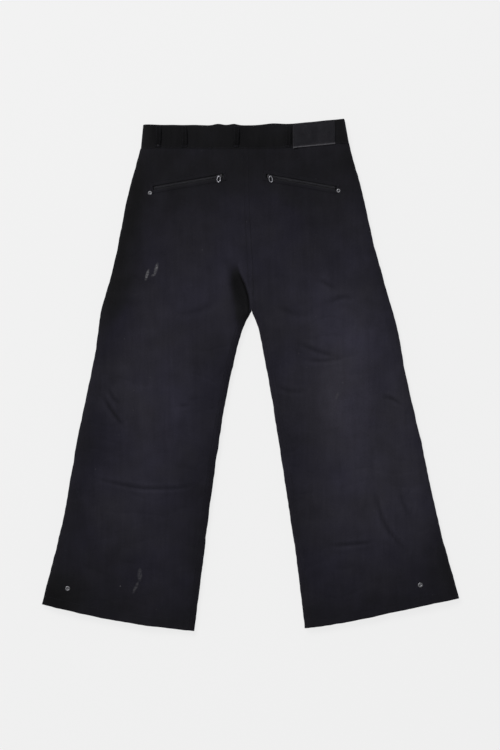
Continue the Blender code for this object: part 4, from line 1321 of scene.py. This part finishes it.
def gaiter(side):
    """The inner sleeve of a leg, with its elastic hem."""
    x, y = {"left": -0.257, "right": 0.243}[side], -0.375
    turn = SIDES[side] * math.radians(10)
    flat_tube(f"gaiter_cloth_{side}", (x, y), turn, GAITER_LENGTH, 0.17, 0.005, 0.0196, 0.0012,
              LINING, f"gaiter_{side}")
    reach = (GAITER_LENGTH - GAITER_HEM) / 2
    flat_tube(f"gaiter_band_{side}", (x + reach * math.sin(turn), y - reach * math.cos(turn)), turn,
              GAITER_HEM, 0.173, 0.0036, 0.021, 0.0006, ELASTIC,
              f"gaiter_elastic_{side}")


def pocket_bag(name, node, bulge, on_front):
    """A pocket bag: the CAD outline with a soft, rounded, slightly wrinkled skin."""
    low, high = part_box(node)
    shape = bmesh.new()
    shape.from_mesh(frame["nodes"][node].data)
    bmesh.ops.delete(shape, geom=[f for f in shape.faces if f.normal.z < 0.9], context="FACES")
    bmesh.ops.triangulate(shape, faces=shape.faces)
    for _ in range(4):
        long = [e for e in shape.edges if e.calc_length() > 0.008]
        bmesh.ops.subdivide_edges(shape, edges=long, cuts=1, use_grid_fill=True)
        bmesh.ops.triangulate(shape, faces=shape.faces)
    x, y = np.array([v.co.xy for v in shape.verts]).T
    z = high.z + bulge * (noise(x * 40, y * 25, 71) + 0.4 * noise(x * 90, y * 60, 72) - 0.6)
    if on_front:
        outer = front_height(x, y) + facing_lift(name.split("_")[-1], x, y)
        z = np.maximum(z, outer + CLOTH + 0.0012)
    for v, height in zip(shape.verts, z):
        v.co.z = height
    mesh = bpy.data.meshes.new(name)
    shape.to_mesh(mesh)
    shape.free()
    mesh.materials.clear()
    mesh.materials.append(LINING)
    mesh = thicken(mesh, BAG_CLOTH, bevel=0.0)
    made = show(name, mesh, nodes=[node])


# ---- Camera, floor and light ----
CAMERA_HEIGHT = 6.0
FRAME_LENGTH = 1.5705  # what the long side of the picture takes in, half way up the pants


def studio():
    """Camera straight above, a white floor, and light from all round and one lamp."""
    camera = put_in("camera", bpy.data.cameras.new("camera"))
    camera.location = (-0.00105, 0.0, CAMERA_HEIGHT)
    camera.data.sensor_width = 36.0
    camera.data.lens = 36.0 / FRAME_LENGTH * (CAMERA_HEIGHT - 0.012)
    bpy.context.scene.camera = camera

    paint = Nodes("floor_paint")
    paint.set(Base_Color=(0.05, 0.05, 0.05, 1), Roughness=1.0, Specular_IOR_Level=0.0,
              Emission_Color=(1, 1, 1, 1), Emission_Strength=0.8)
    corners = np.array([[(-30, -30, 0), (30, -30, 0)], [(-30, 30, 0), (30, 30, 0)]], float)
    put_in("floor", mesh_of("floor", [corners], [paint.material], wrap=False))

    world = bpy.data.worlds.new("studio")
    bpy.context.scene.world = world
    world.use_nodes = True
    sky = world.node_tree
    way, parts, fall = (sky.nodes.new(f"ShaderNode{kind}")
                        for kind in ("TexCoord", "SeparateXYZ", "MapRange"))
    back = sky.nodes["Background"]
    for socket, value in (("From Min", 0.3), ("From Max", 0.7), ("To Min", 0.85), ("To Max", 0.45)):
        fall.inputs[socket].default_value = value
    sky.links.new(way.outputs["Generated"], parts.inputs[0])
    sky.links.new(parts.outputs["Z"], fall.inputs["Value"])
    sky.links.new(fall.outputs[0], back.inputs["Strength"])
    back.inputs["Color"].default_value = (1.0, 1.0, 1.0, 1)
    key = bpy.data.lights.new("key", "AREA")
    key.shape, key.size, key.size_y, key.energy = "RECTANGLE", 3.0, 2.4, 420
    lamp = put_in("key", key)
    lamp.location = (-2.0, 2.9, 4.6)
    lamp.rotation_euler = (Vector((0, 0, 0)) - lamp.location).to_track_quat("-Z", "Y").to_euler()
    bpy.context.scene.view_settings.view_transform = "Standard"


# ---- The pants ----
studio()
for each in SIDES:
    panels(each)
seam_allowances()
waistband_back()
for each in SIDES:
    waistband_front(each)
COVER_TREE, UNDER_TREE = tree_of(COVER), tree_of(UNDER)

for each in SIDES:
    pocket_zip(each)
    pocket_slider(each)
    pocket_pull(each)
for name, x in {"side_left": -0.193, "back_left": -0.139, "back_centre": -0.03,
                "back_right": 0.079}.items():
    belt_loop(name, x, True)
for name, x in {"front_left": -0.115, "front_right": 0.1, "side_right": 0.175}.items():
    belt_loop(name, x, False)
waist_patch()

for edge, rise in ((WAIST_SEAM, 0.003), (WAIST_TOP[:5], -0.0045)):
    sew("waistband", curve([(x, y + rise) for x, y in edge])[3:-3])
seat = curve(SEAT_SEAM)[1:-4]
for offset in SEAT_ROWS_AT:
    sew("seat", beside(seat, offset))
for side, away in SIDES.items():
    inside = curve(INSEAM[side])
    for offset in INSEAM_ROWS_AT:
        sew("inseams", beside(inside, away * offset)[4:-1])
    hem = curve(HEM[side])
    for inset, below in ((HEM_ROWS_AT[0], False), (HEM_ROWS_AT[1], False), (HEM_ROWS_AT[0], True)):
        sew("hems", beside(hem, -away * inset)[3:-3], below)
    gaiter(side)
    for kind, on_front in (("back", False), ("hand", True)):
        pocket_bag(f"{kind}_bag_{side}", f"{kind}_pocket_bag_{side}", 0.0006, on_front)
    hem_tab(side)
closure()
front_sewing()
hardware()
finish_sewing()
